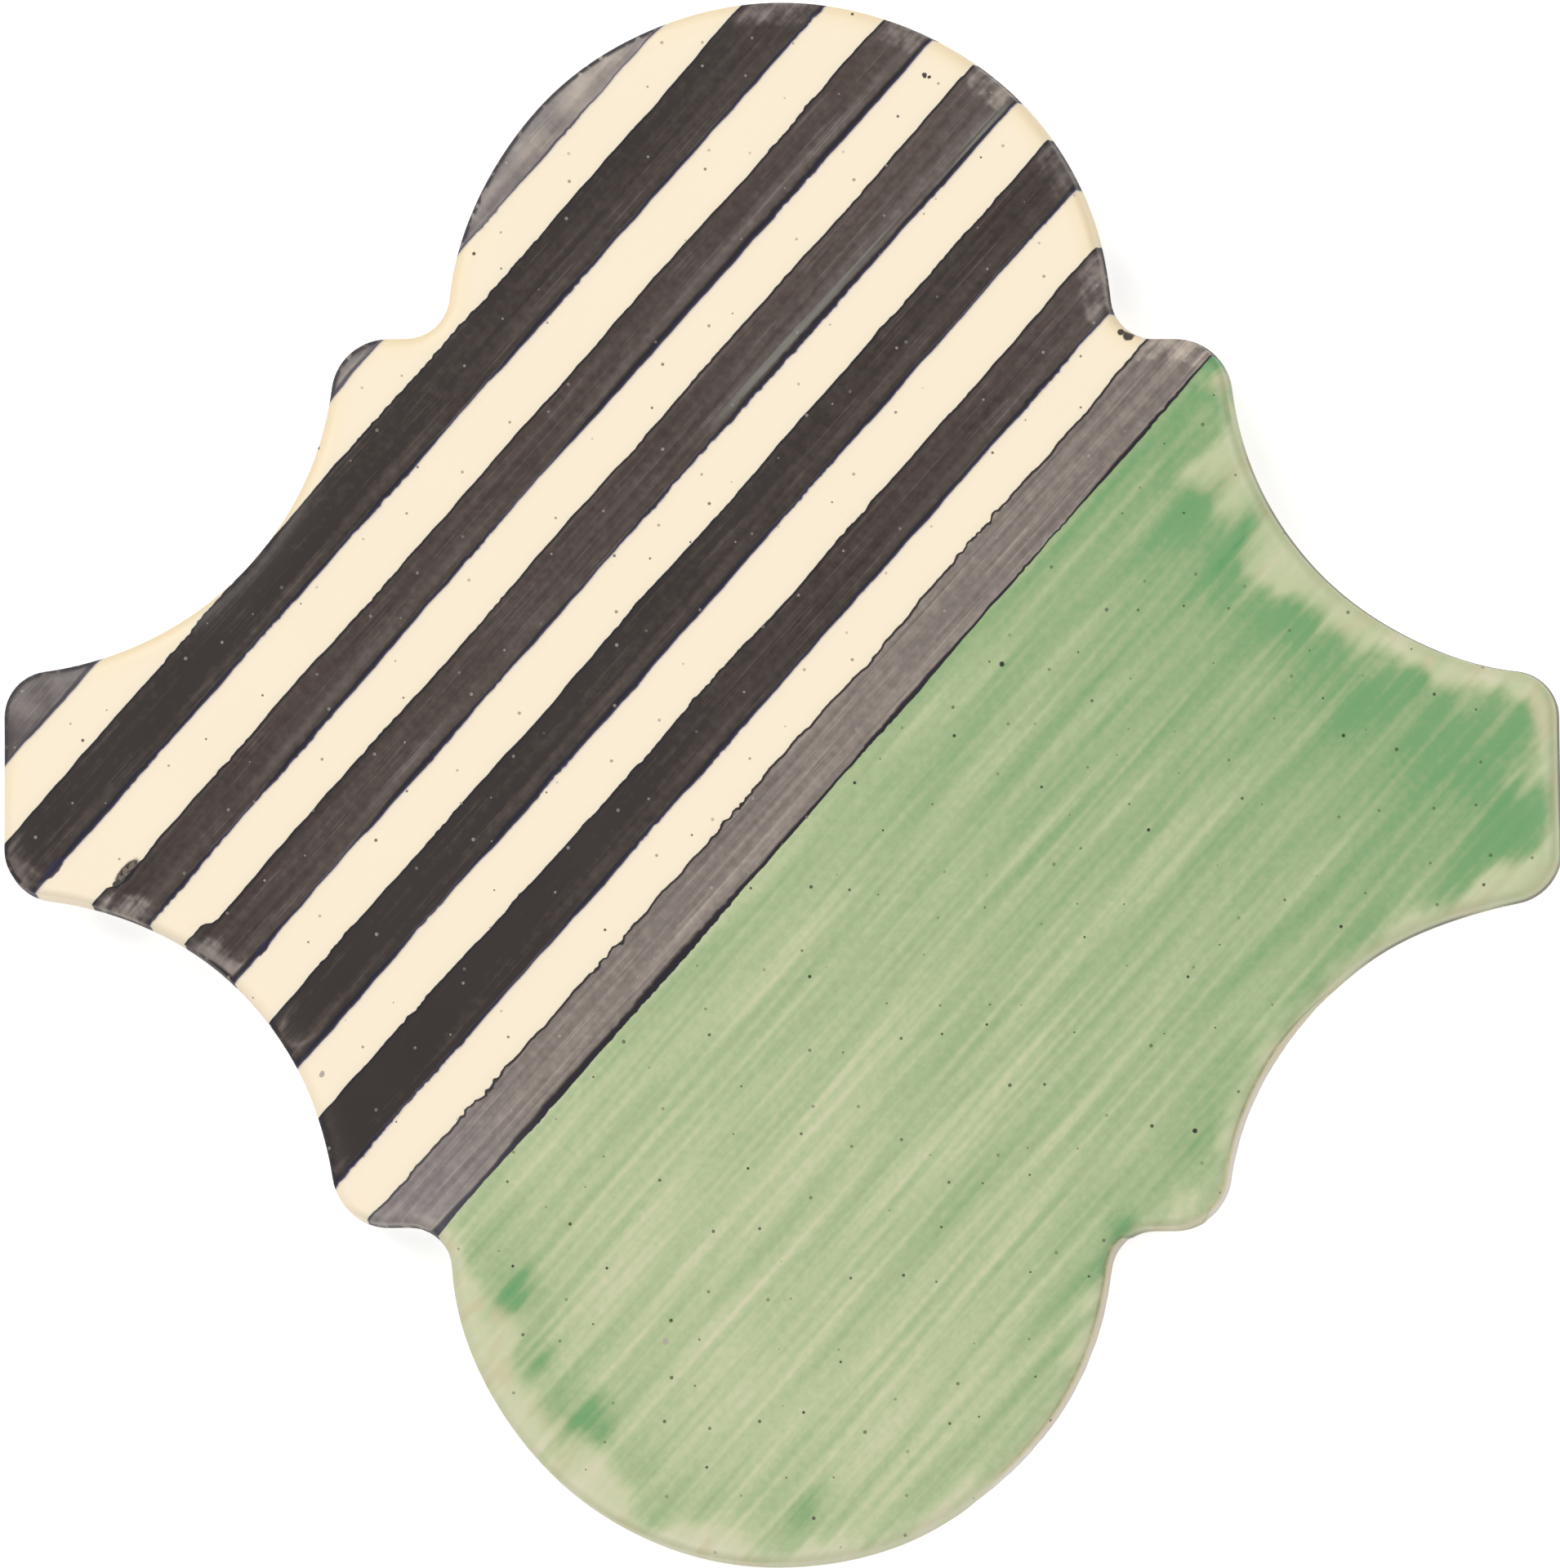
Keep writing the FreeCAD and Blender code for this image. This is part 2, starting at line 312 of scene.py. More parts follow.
@dataclass
class Surface:
    """Vertices, faces and map of one closed mesh while it is being put together."""

    name: str

    def __post_init__(self) -> None:
        """Start with no vertices and no faces."""
        self.vertices: list[np.ndarray] = []
        self.maps: list[np.ndarray] = []
        self.rims: list[np.ndarray] = []
        self.faces: list[tuple[int, ...]] = []
        self.flat: list[bool] = []
        self.face_maps: dict[int, np.ndarray] = {}
        self.count = 0

    def add_points(self, points: np.ndarray, on_map: np.ndarray, rim: np.ndarray) -> np.ndarray:
        """Add vertices.

        Args:
            points: their places, in millimetres.
            on_map: their places on the map.
            rim: how far in from the rim each lies over the surface, in millimetres.

        Returns:
            Their numbers.
        """
        self.vertices.append(points)
        self.maps.append(on_map)
        self.rims.append(rim)
        numbers = np.arange(self.count, self.count + len(points))
        self.count += len(points)
        return numbers

    def add_face(self, corners: Sequence[int], flat: bool = False) -> int:
        """Add one face and give its number."""
        self.faces.append(tuple(int(corner) for corner in corners))
        self.flat.append(flat)
        return len(self.faces) - 1

    def band(self, lower: np.ndarray, upper: np.ndarray) -> list[int]:
        """Join two rings that are followed clockwise, the second above or inside the first."""
        faces = []
        for here, ahead in zip(range(len(lower)), np.roll(range(len(lower)), -1)):
            faces.append(self.add_face((lower[ahead], lower[here], upper[here], upper[ahead])))
        return faces

    def fill(self, ring: np.ndarray, inside: np.ndarray, loops: Sequence[np.ndarray], up: bool,
             flat: bool = False) -> None:
        """Fill a ring with triangles.

        Args:
            ring: numbers of the ring's vertices, in order.
            inside: numbers of loose vertices within the ring.
            loops: numbers of the vertices of closed loops within the ring, which stay open.
            up: whether the faces look up, or down.
            flat: whether the faces are shaded flat.
        """
        places = np.concatenate(self.vertices)
        numbers = np.concatenate([ring, inside, *loops]).astype(int)
        order = {int(number): spot for spot, number in enumerate(numbers)}
        edges = []
        for loop in (ring, *loops):
            spots = [order[int(number)] for number in loop]
            edges += list(zip(spots, spots[1:] + spots[:1]))
        flat_places = [Vector(places[number][:2]) for number in numbers]
        found = delaunay_2d_cdt(flat_places, edges, [], 1, 1e-6)
        origin = found[3]
        triangles = np.array([[numbers[origin[spot][0]] for spot in face] for face in found[2]])
        middles = places[triangles, :2].mean(axis=1)
        hole = np.zeros(len(triangles), bool)
        for loop in loops:
            hole |= within(middles, places[loop, :2])
        for corners in triangles[~hole]:
            a, b, c = (places[corner][:2] for corner in corners)
            turns_left = (b[0] - a[0]) * (c[1] - a[1]) - (b[1] - a[1]) * (c[0] - a[0]) > 0
            self.add_face(corners if turns_left == up else corners[::-1], flat)

    def to_object(self) -> bpy.types.Object:
        """Make the Blender object, in metres, with its map and its rim attribute.

        Returns:
            The object, linked into the scene.
        """
        mesh = bpy.data.meshes.new(self.name)
        points = np.concatenate(self.vertices) * MM
        mesh.from_pydata([tuple(point) for point in points], [], self.faces)
        mesh.polygons.foreach_set("use_smooth", [not flat for flat in self.flat])
        corners = np.zeros(len(mesh.loops), int)
        mesh.loops.foreach_get("vertex_index", corners)
        on_map = np.concatenate(self.maps)[corners]
        for face, places in self.face_maps.items():
            start = mesh.polygons[face].loop_start
            on_map[start : start + len(places)] = places
        layer = mesh.uv_layers.new(name=BAKE_MAP)
        layer.data.foreach_set("uv", on_map.astype(np.float32).ravel())
        attribute = mesh.attributes.new(RIM_ATTRIBUTE, "FLOAT", "POINT")
        attribute.data.foreach_set("value", np.concatenate(self.rims).astype(np.float32))
        mesh.validate()
        mesh.update()
        piece = bpy.data.objects.new(self.name, mesh)
        bpy.context.scene.collection.objects.link(piece)
        return piece


def depth_in(places: np.ndarray, outline: np.ndarray, normals: np.ndarray) -> np.ndarray:
    """How far inside an outline some places lie.

    Args:
        places: one row of millimetres for each place.
        outline: places along the outline.
        normals: directions out of the outline there.

    Returns:
        The distance to the outline for each place, below zero outside it.
    """
    depths = []
    for part in np.array_split(places, max(1, len(places) // 2000)):
        gaps = part[:, None] - outline[None]
        nearest = np.argmin((gaps**2).sum(2), axis=1)
        rows = np.arange(len(part))
        side = -np.sign((gaps[rows, nearest] * normals[nearest]).sum(1))
        depths.append(side * np.linalg.norm(gaps[rows, nearest], axis=1))
    return np.concatenate(depths)


def turned_from(normals: np.ndarray, heading: float) -> np.ndarray:
    """Angles between some directions and a heading, in degrees from 0 to 180."""
    headings = np.degrees(np.arctan2(normals[:, 1], normals[:, 0]))
    return np.abs((headings - heading + 180) % 360 - 180)


def within(places: np.ndarray, loop: np.ndarray) -> np.ndarray:
    """Tell which places lie inside a closed loop.

    Args:
        places: one row of millimetres for each place.
        loop: places along the loop, in order.

    Returns:
        True for each place that is inside.
    """
    inside = np.zeros(len(places), bool)
    for (x0, y0), (x1, y1) in zip(loop, np.roll(loop, -1, axis=0)):
        if y0 != y1:
            level = (y0 > places[:, 1]) != (y1 > places[:, 1])
            reach = x0 + (places[:, 1] - y0) * (x1 - x0) / (y1 - y0)
            inside ^= level & (places[:, 0] < reach)
    return inside


def grid(half_width: float, half_height: float, spacing: float) -> np.ndarray:
    """Places of a triangular grid about the middle.

    Args:
        half_width: reach of the grid to each side.
        half_height: reach of the grid up and down.
        spacing: distance between neighbours, in millimetres.

    Returns:
        One row for each place.
    """
    rows = np.arange(-half_height, half_height, spacing * math.sqrt(3) / 2)
    lines = []
    for number, y in enumerate(rows):
        x = np.arange(-half_width, half_width, spacing) + spacing / 2 * (number % 2)
        lines.append(np.stack([x, np.full_like(x, y)], axis=1))
    return np.concatenate(lines)


@dataclass(frozen=True)
class Section:
    """Cross-section of the rim: leaning sides and a rolled edge that bends ever tighter.

    Depths are measured in from the outline at the tile's back.
    """

    face: float = 9.42
    roll: float = 2.5
    ease: float = 1.7
    lean: float = math.radians(2.5)
    proud: float = 0.08
    steps: int = 48

    def side(self, height: float | np.ndarray) -> float | np.ndarray:
        """Depth of the side at some height."""
        return height * math.tan(self.lean) - self.proud

    def fold(self, share: float) -> tuple[float, float]:
        """How far the rolled edge has gone out and down at some share of its length."""
        middles = (np.arange(self.steps) + 0.5) / self.steps * share
        angles = (math.pi / 2 - self.lean) * middles**self.ease
        length = self.roll * share
        return length * float(np.cos(angles).mean()), length * float(np.sin(angles).mean())

    @property
    def shoulder(self) -> float:
        """Height at which the side turns into the rolled edge."""
        return self.face - self.fold(1.0)[1]

    @property
    def edge(self) -> float:
        """Depth at which the rolled edge ends and the face begins."""
        return self.side(self.shoulder) + self.fold(1.0)[0]

    def rolled(self, share: float) -> tuple[float, float, float]:
        """A place on the rolled edge.

        Args:
            share: 0 at the face and 1 at the side.

        Returns:
            Its depth, its height, and how far it lies from the face's edge over the surface.
        """
        out, down = self.fold(share)
        return self.edge - out, self.face - down, self.roll * share


@dataclass(frozen=True)
class Drip:
    """A run of glaze down the side, near one place of the outline."""

    x: float
    y: float
    reach: float
    fall: float


@dataclass(frozen=True)
class GlazeCoat:
    """The coat of glaze: the tile's face, its rolled edge and a wavy lip down the sides.

    It is a thin closed shell whose inner surface is hidden in the clay. It ends high on the sides that
    look one way, where the clay stays bare, and runs almost to the back on the others.
    """

    rim: Rim
    section: Section
    spacing: float = 0.8
    roll_rings: int = 11
    lip_shares: tuple[float, ...] = (0.25, 0.5, 0.72, 0.88, 1.0)
    line: float = 7.3
    line_waver: tuple[float, float] = (0.5, 0.25)
    swell: float = 0.05
    ripple: float = 0.02
    bare_heading: float = -22.0
    bare_reach: tuple[float, float] = (24.0, 36.0)
    bare_below: tuple[float, float] = (-26.0, -19.0)
    high_heading: float = 165.0
    high_reach: tuple[float, float] = (62.0, 80.0)
    high_foot: float = -0.25
    low_foot: float = 1.31
    low_foot_share: float = 0.21
    far: float = 9.0
    low_line: float = 0.9
    lowest: float = 0.65
    map_half: float = 79.8
    map_squeeze: float = 0.35
    hidden_map: tuple[float, float] = (0.95, 0.95)
    drips: tuple[Drip, ...] = (
        Drip(-30.0, 57.0, 1.4, 1.6),
        Drip(52.0, 23.0, 1.1, 1.1),
        Drip(76.0, -2.0, 1.6, 1.9),
        Drip(47.0, -24.0, 1.2, 1.3),
        Drip(14.0, -75.0, 1.5, 1.7),
        Drip(-29.0, -58.0, 1.2, 1.2),
        Drip(-50.0, -22.0, 1.4, 1.5),
        Drip(-76.0, 3.0, 1.1, 1.2),
    )

    def relief(self, places: np.ndarray) -> np.ndarray:
        """Slow unevenness of the face, in millimetres."""
        return self.swell * wander(places, 34.0, 8.0) + self.ripple * wander(places, 9.0, 21.0)

    def swept(self, outline: np.ndarray, normals: np.ndarray) -> np.ndarray:
        """How far the glaze was swept down, from 0 to 1, for each place of the outline."""
        return np.maximum(smooth_step(turned_from(normals, self.bare_heading), *self.bare_reach),
                          smooth_step(outline[:, 1], *self.bare_below))

    def foot(self, rim: np.ndarray, normals: np.ndarray, swept: np.ndarray) -> np.ndarray:
        """How far a ring lies from the dark line: ink pooled at the roll's foot, painted shade on the lip.

        Args:
            rim: how far in from the rim the ring lies over the surface, in millimetres.
            normals: directions out of the outline.
            swept: how far the glaze was swept down there.

        Returns:
            The distance in millimetres, below zero past that place.
        """
        low = smooth_step(turned_from(normals, self.high_heading), *self.high_reach)
        at_roll = rim + self.high_foot
        at_lip = rim * self.low_foot_share + self.low_foot
        return rim + (at_roll + (at_lip - at_roll) * low - rim) * swept

    def glaze_line(self, outline: np.ndarray, swept: np.ndarray) -> np.ndarray:
        """Height at which the lip ends, for each place of the outline."""
        line = np.full(len(outline), self.line)
        for amount, period in zip(self.line_waver, (11.0, 3.6)):
            line += amount * wander(outline, period, 5.0)
        for drip in self.drips:
            away = np.hypot(outline[:, 0] - drip.x, outline[:, 1] - drip.y)
            nearest = away.min()
            line -= drip.fall * np.exp(-(((away - nearest) / drip.reach) ** 2))
        low = np.maximum(self.low_line + 0.2 * (line - self.line), self.lowest)
        return line + (low - line) * swept

    def on_map(self, places: np.ndarray) -> np.ndarray:
        """Places on the map of places on the unrolled face."""
        return 0.5 + places / (2 * self.map_half)

    def build(self) -> bpy.types.Object:
        """Make the coat.

        Returns:
            The mesh object, without a material.
        """
        section, surface = self.section, Surface("glaze_coat")
        outline, normals = self.rim.trace()
        edge = outline - normals * section.edge
        relief = self.relief(edge)
        swept = self.swept(outline, normals)
        line = self.glaze_line(outline, swept)
        rings, feet = [], []

        def ring(depth: np.ndarray, height: np.ndarray, run: np.ndarray) -> None:
            """Add one ring of the visible surface, run millimetres out from the face's edge."""
            flat = np.clip(outline - normals * depth[:, None], -half, half)
            points = np.column_stack([flat, height])
            past = np.maximum(run - run_down, 0)
            unrolled = self.on_map(edge + normals * (run - past * (1 - self.map_squeeze))[:, None])
            rim = section.edge - run
            rings.append(surface.add_points(points, unrolled, rim))
            feet.append(self.foot(rim, normals, swept))

        ones = np.ones(len(outline))
        half = self.rim.half
        run_down = section.rolled(1.0)[2]
        for number in range(self.roll_rings):
            share = number / (self.roll_rings - 1)
            depth, height, run = section.rolled(share)
            ring(depth * ones, height + relief * (1 - share), run * ones)
        for share in self.lip_shares:
            height = section.shoulder + (line - section.shoulder) * share
            bead = 0.07 * math.exp(-(((share - 0.86) / 0.2) ** 2)) - 0.05 * (share == 1)
            ring(section.side(height) - bead, height, run_down + section.shoulder - height)
        for upper, lower in zip(rings, rings[1:]):
            surface.band(lower, upper)

        reach = np.abs(edge).max(axis=0)
        inner = grid(reach[0], reach[1], self.spacing)
        depth = depth_in(inner, outline, normals)
        kept = depth > section.edge + self.spacing * 0.45
        inner, depth = inner[kept], depth[kept]
        points = np.column_stack([inner, section.face + self.relief(inner)])
        loose = surface.add_points(points, self.on_map(inner), depth)
        surface.fill(rings[0], loose, (), up=True)
        self.close(surface, rings[-1], outline, normals, line)
        rims = np.concatenate(surface.rims)
        foot, coated = rims.copy(), rims.copy()
        for numbers, distances in zip(rings, feet):
            foot[numbers] = distances
            coated[numbers] += self.far * swept
        piece = surface.to_object()
        carry(piece.data, foot=foot, coated=coated)
        return piece

    def close(self, surface: Surface, lip: np.ndarray, outline: np.ndarray, normals: np.ndarray,
              line: np.ndarray) -> None:
        """Add the hidden inner surface.

        Args:
            surface: the mesh so far.
            lip: numbers of the lowest ring's vertices.
            outline: places along the outline.
            normals: directions out of it.
            line: height of the glaze line along it.
        """
        tiny = 0.0002
        upper = lip
        ones = np.ones(len(outline))
        for depth, height in ((section_depth(self.section, line, 0.3), line + 0.03),
                              (0.9 * ones, 8.3 * ones), (2.6 * ones, 9.0 * ones)):
            places = outline - normals * depth[:, None]
            on_map = np.array(self.hidden_map) + places * tiny
            points = np.column_stack([places, height])
            lower = surface.add_points(points, on_map, np.zeros(len(places)))
            for number, face in enumerate(surface.band(lower, upper)):
                ahead = (number + 1) % len(places)
                surface.face_maps[face] = on_map[[ahead, number, number, ahead]]
            upper = lower
        surface.fill(upper, np.zeros(0, int), (), up=False)


def section_depth(section: Section, height: np.ndarray, inward: float) -> np.ndarray:
    """Depth of a ring that lies some way inside the side at the given heights."""
    return section.side(height) + inward


@dataclass(frozen=True)
class Grooves:
    """The pressed keys of the back: parallel grooves that stop short of the rim."""

    count: int = 15
    pitch: float = 9.0
    mouth: float = 4.2
    floor: float = 3.2
    depth: float = 0.9
    rim: float = 9.0
    step: float = 1.5
    corner: float = 0.8
    sweep: int = 7

    def count_along(self, y: float, outline: np.ndarray) -> int:
        """Number of places along a groove's long side."""
        near = outline[np.abs(outline[:, 1] - y) < self.mouth]
        return max(4, int(2 * (np.abs(near[:, 0]).max() - self.rim) / self.step))

    def loop(self, y: float, width: float, shrink: float, count: int, outline: np.ndarray,
             normals: np.ndarray) -> np.ndarray:
        """Follow the edge of one groove clockwise.

        Args:
            y: the groove's middle line.
            width: its width at this level.
            shrink: how much earlier its ends stop at this level.
            count: number of places along each long side.
            outline: places along the tile's outline.
            normals: directions out of it.

        Returns:
            Places along the edge.
        """
        half = width / 2
        offsets = half * np.cos(np.linspace(0, math.pi, self.sweep))
        probes = np.arange(0, outline[:, 0].max(), 0.25)
        ends = []
        for offset in offsets:
            line = np.column_stack([probes, np.full_like(probes, y + offset)])
            ends.append(probes[depth_in(line, outline, normals) > self.rim].max(initial=2.0))
        slack = np.clip(np.abs(offsets) - half + self.corner, 0, self.corner) / self.corner
        right = np.array(ends) - shrink - self.corner * (1 - np.sqrt(1 - slack**2))
        top = np.linspace(-right[0], right[0], count)[1:-1]
        bottom = np.linspace(right[-1], -right[-1], count)[1:-1]
        return np.concatenate([
            np.column_stack([top, np.full_like(top, y + half)]),
            np.column_stack([right, y + offsets]),
            np.column_stack([bottom, np.full_like(bottom, y - half)]),
            np.column_stack([-right[::-1], y + offsets[::-1]]),
        ])


@dataclass(frozen=True)
class ClayBody:
    """The pressed clay under the glaze: bare leaning sides, a broken back edge and a keyed back."""

    rim: Rim
    section: Section
    grooves: Grooves
    arris: float = 0.5
    sunk: float = 0.14
    spacing: float = 1.7
    side_heights: tuple[float, ...] = (0.5, 1.2, 2.1, 3.1, 4.2, 5.3, 6.4, 7.4, 7.9)
    map_scale: float = 0.78
    map_middle: tuple[float, float] = (0.5, 0.41)
    strips: int = 4
    strip_low: float = 0.825
    strip_pitch: float = 0.044
    strip_height: float = 0.038

    def build(self) -> bpy.types.Object:
        """Make the clay body.

        Returns:
            The mesh object, without a material.
        """
        surface = Surface("clay_body")
        outline, normals = self.rim.trace()
        size = np.abs(outline).max()

        def rough(level: float) -> np.ndarray:
            """Unevenness of the side at one level, from 0 up."""
            spots = np.column_stack([outline, np.full(len(outline), level)])
            return 0.08 + 0.05 * wander(spots, 9.0, 2.0) + 0.03 * wander(spots, 1.9, 6.0)

        def on_map(places: np.ndarray) -> np.ndarray:
            """Places on the map of places on the back."""
            return np.array(self.map_middle) + places / (2 * size) * self.map_scale

        chips = 0.10 * np.clip(wander(outline, 2.2, 4.0), 0, 1) + 0.05 * wander(outline, 0.9, 7.0)
        levels = [
            (self.arris + chips, 0.0),
            (self.arris * 0.55 + chips, 0.09),
            (self.arris * 0.2 + chips * 0.7, 0.28),
        ]
        levels += [(self.clay_side(height) + rough(height), height) for height in self.side_heights]
        for share in (0.8, 0.6, 0.3):
            depth, height, _ = self.section.rolled(share)
            levels.append((depth + 0.2 * np.ones(len(outline)), height - 0.27))
        rings = []
        for depth, height in levels:
            places = outline - normals * depth[:, None]
            points = np.column_stack([places, np.full(len(places), height)])
            rings.append(surface.add_points(points, on_map(places), depth))
        for number, (lower, upper) in enumerate(zip(rings, rings[1:])):
            self.lay_strip(surface, surface.band(lower, upper), number, len(rings) - 1)
        self.cap(surface, rings[-1])
        self.press_back(surface, rings[0], outline, normals, on_map)
        return surface.to_object()

    def clay_side(self, height: float) -> float:
        """Depth of the bare side at some height, without its unevenness."""
        return float(self.section.side(height)) + self.section.proud + 0.02

    def lay_strip(self, surface: Surface, faces: list[int], level: int, levels: int) -> None:
        """Lay one band of the sides out on the map, in strips one above the other.

        Args:
            surface: the mesh so far.
            faces: numbers of the band's faces, in order.
            level: which band it is, counted from the back.
            levels: how many bands there are.
        """
        low, high = level / levels, (level + 1) / levels
        for number, face in enumerate(faces):
            along = number / len(faces) * self.strips
            strip = int(along)
            left, right = along - strip, along - strip + self.strips / len(faces)
            base = self.strip_low + strip * self.strip_pitch
            corners = ((right, low), (left, low), (left, high), (right, high))
            surface.face_maps[face] = np.array([
                (0.006 + 0.985 * across, base + self.strip_height * up) for across, up in corners
            ])

    def cap(self, surface: Surface, ring: np.ndarray) -> None:
        """Close the top, which the glaze hides."""
        first = len(surface.faces)
        surface.fill(ring, np.zeros(0, int), (), up=True)
        points = np.concatenate(surface.vertices)
        for face in range(first, len(surface.faces)):
            corners = list(surface.faces[face])
            surface.face_maps[face] = np.array([0.05, 0.05]) + points[corners, :2] * 0.0003

    def press_back(self, surface: Surface, ring: np.ndarray, outline: np.ndarray,
                   normals: np.ndarray, on_map: Callable[[np.ndarray], np.ndarray]) -> None:
        """Make the back with its grooves.

        Args:
            surface: the mesh so far.
            ring: numbers of the vertices around the back.
            outline: places along the outline.
            normals: directions out of it.
            on_map: gives places on the map.
        """
        grooves = self.grooves

        def add(places: np.ndarray, height: float, uneven: float) -> np.ndarray:
            """Add vertices at one level, pushed up into the clay by its unevenness."""
            rise = uneven * (1 + wander(places, 4.5, 11.0)) / 2
            points = np.column_stack([places, height + rise])
            return surface.add_points(points, on_map(places), 40 * np.ones(len(places)))

        mouths = []
        reach = np.abs(outline).max(axis=0)
        loose = grid(reach[0], reach[1], self.spacing)
        loose = loose[depth_in(loose, outline, normals) > self.arris + 0.6 * self.spacing]
        blocked = np.zeros(len(loose), bool)
        for number in range(grooves.count):
            y = (number - (grooves.count - 1) / 2) * grooves.pitch
            count = grooves.count_along(y, outline)
            mouth = grooves.loop(y, grooves.mouth, 0.0, count, outline, normals)
            floor = grooves.loop(y, grooves.floor, 0.4, count, outline, normals)
            near = np.abs(loose[:, 1] - y) < grooves.mouth / 2 + 0.4
            blocked |= near & (np.abs(loose[:, 0]) < np.abs(mouth[:, 0]).max() + 0.4)
            rim_loop = add(mouth, 0.0, 0.05)
            bed = add(floor, grooves.depth - 0.06, 0.08)
            surface.band(bed, rim_loop)
            surface.fill(bed, np.zeros(0, int), (), up=False)
            mouths.append(rim_loop)
        surface.fill(ring, add(loose[~blocked], 0.0, 0.06), mouths, up=False)


class Reach(Enum):
    """How many directions a pattern changes in."""

    FLAT = "2D"
    SOLID = "3D"


class Graph:
    """Shorthand for laying nodes in one node tree."""

    def __init__(self, tree: bpy.types.NodeTree) -> None:
        """Work in a node tree."""
        self.tree = tree

    def node(self, kind: str, **settings: object) -> bpy.types.Node:
        """Add a node with its settings."""
        node = self.tree.nodes.new(kind)
        for name, setting in settings.items():
            setattr(node, name, setting)
        return node

    def feed(self, socket: bpy.types.NodeSocket, value: Value) -> None:
        """Link a socket to another one, or set its constant."""
        if isinstance(value, bpy.types.NodeSocket):
            self.tree.links.new(value, socket)
        else:
            socket.default_value = value

    def math(self, operation: str, *values: Value, clamp: bool = False) -> bpy.types.NodeSocket:
        """Reckon with numbers.

        Args:
            operation: name of the Math node's operation.
            *values: what it works on.
            clamp: whether the result is kept from 0 to 1.

        Returns:
            The result.
        """
        node = self.node("ShaderNodeMath", operation=operation, use_clamp=clamp)
        for socket, value in zip(node.inputs, values):
            self.feed(socket, value)
        return node.outputs[0]

    def add(self, *values: Value) -> bpy.types.NodeSocket:
        """Add several numbers up."""
        total = values[0]
        for value in values[1:]:
            total = self.math("ADD", total, value)
        return total

    def less(self, value: Value, taken: Value) -> bpy.types.NodeSocket:
        """Take one number from another."""
        return self.math("SUBTRACT", value, taken)

    def times(self, *values: Value) -> bpy.types.NodeSocket:
        """Multiply several numbers."""
        total = values[0]
        for value in values[1:]:
            total = self.math("MULTIPLY", total, value)
        return total

    def rise(self, value: Value, low: float, high: float) -> bpy.types.NodeSocket:
        """Rise smoothly from 0 at low to 1 at high."""
        node = self.node("ShaderNodeMapRange", interpolation_type="SMOOTHSTEP")
        for name, setting in (("Value", value), ("From Min", low), ("From Max", high)):
            self.feed(node.inputs[name], setting)
        return node.outputs["Result"]

    def fall(self, value: Value, low: float, high: float) -> bpy.types.NodeSocket:
        """Fall smoothly from 1 at low to 0 at high."""
        return self.rise(value, high, low)

    def bell(self, value: Value, centre: Value, reach: float) -> bpy.types.NodeSocket:
        """Be 1 at the centre and fall off on both sides like a bell."""
        away = self.math("DIVIDE", self.less(value, centre), reach)
        return self.math("EXPONENT", self.times(away, away, -1.0))

    def toward(self, value: Value, goal: Value, share: Value) -> bpy.types.NodeSocket:
        """Move a number some share of the way to another."""
        return self.add(value, self.times(self.less(goal, value), share))

    def vector(self, x: Value, y: Value, z: Value) -> bpy.types.NodeSocket:
        """Put three numbers together."""
        node = self.node("ShaderNodeCombineXYZ")
        for socket, value in zip(node.inputs, (x, y, z)):
            self.feed(socket, value)
        return node.outputs[0]

    def split(self, vector: bpy.types.NodeSocket) -> tuple[bpy.types.NodeSocket, ...]:
        """Take a vector apart."""
        node = self.node("ShaderNodeSeparateXYZ")
        self.feed(node.inputs[0], vector)
        return tuple(node.outputs)

    def waver(self, place: Value, scale: float, detail: float = 0.0, roughness: float = 0.5,
              reach: Reach = Reach.FLAT) -> bpy.types.NodeSocket:
        """Smooth noise about 0.

        Args:
            place: where it is read.
            scale: features to a unit of the place.
            detail: number of finer layers.
            roughness: strength of each finer layer.
            reach: whether it changes across the face only, or with the height too.

        Returns:
            Noise from about -0.4 to 0.4.
        """
        node = self.node("ShaderNodeTexNoise", noise_dimensions=reach.value)
        for name, value in (("Vector", place), ("Scale", scale), ("Detail", detail),
                            ("Roughness", roughness)):
            self.feed(node.inputs[name], value)
        return self.less(node.outputs["Fac"], 0.5)

    def ramp(self, value: Value, stops: Sequence[tuple[float, Colour]]) -> bpy.types.NodeSocket:
        """Turn a number from 0 to 1 into a colour through named stops."""
        node = self.node("ShaderNodeValToRGB")
        elements = node.color_ramp.elements
        elements.remove(elements[0])
        for number, (position, colour) in enumerate(stops):
            element = elements[0] if number == 0 else elements.new(position)
            element.position = position
            element.color = linear(colour)
        self.feed(node.inputs["Fac"], value)
        return node.outputs["Color"]

    def mix(self, share: Value, first: Value | Colour, second: Value | Colour) -> bpy.types.NodeSocket:
        """Mix two colours."""
        node = self.node("ShaderNodeMix", data_type="RGBA")
        ends = [linear(end) if isinstance(end, tuple) else end for end in (first, second)]
        for name, value in (("Factor_Float", share), ("A_Color", ends[0]), ("B_Color", ends[1])):
            socket = next(entry for entry in node.inputs if entry.identifier == name)
            self.feed(socket, value)
        return next(leave for leave in node.outputs if leave.identifier == "Result_Color")

    def millimetres(self) -> bpy.types.NodeSocket:
        """Place on the object, in millimetres."""
        coordinates = self.node("ShaderNodeTexCoord").outputs["Object"]
        scale = self.node("ShaderNodeVectorMath", operation="SCALE")
        self.feed(scale.inputs[0], coordinates)
        self.feed(scale.inputs["Scale"], 1 / MM)
        return scale.outputs[0]

    def attribute(self, name: str) -> bpy.types.NodeSocket:
        """A number that the mesh carries at each vertex."""
        return self.node("ShaderNodeAttribute", attribute_name=name).outputs["Fac"]

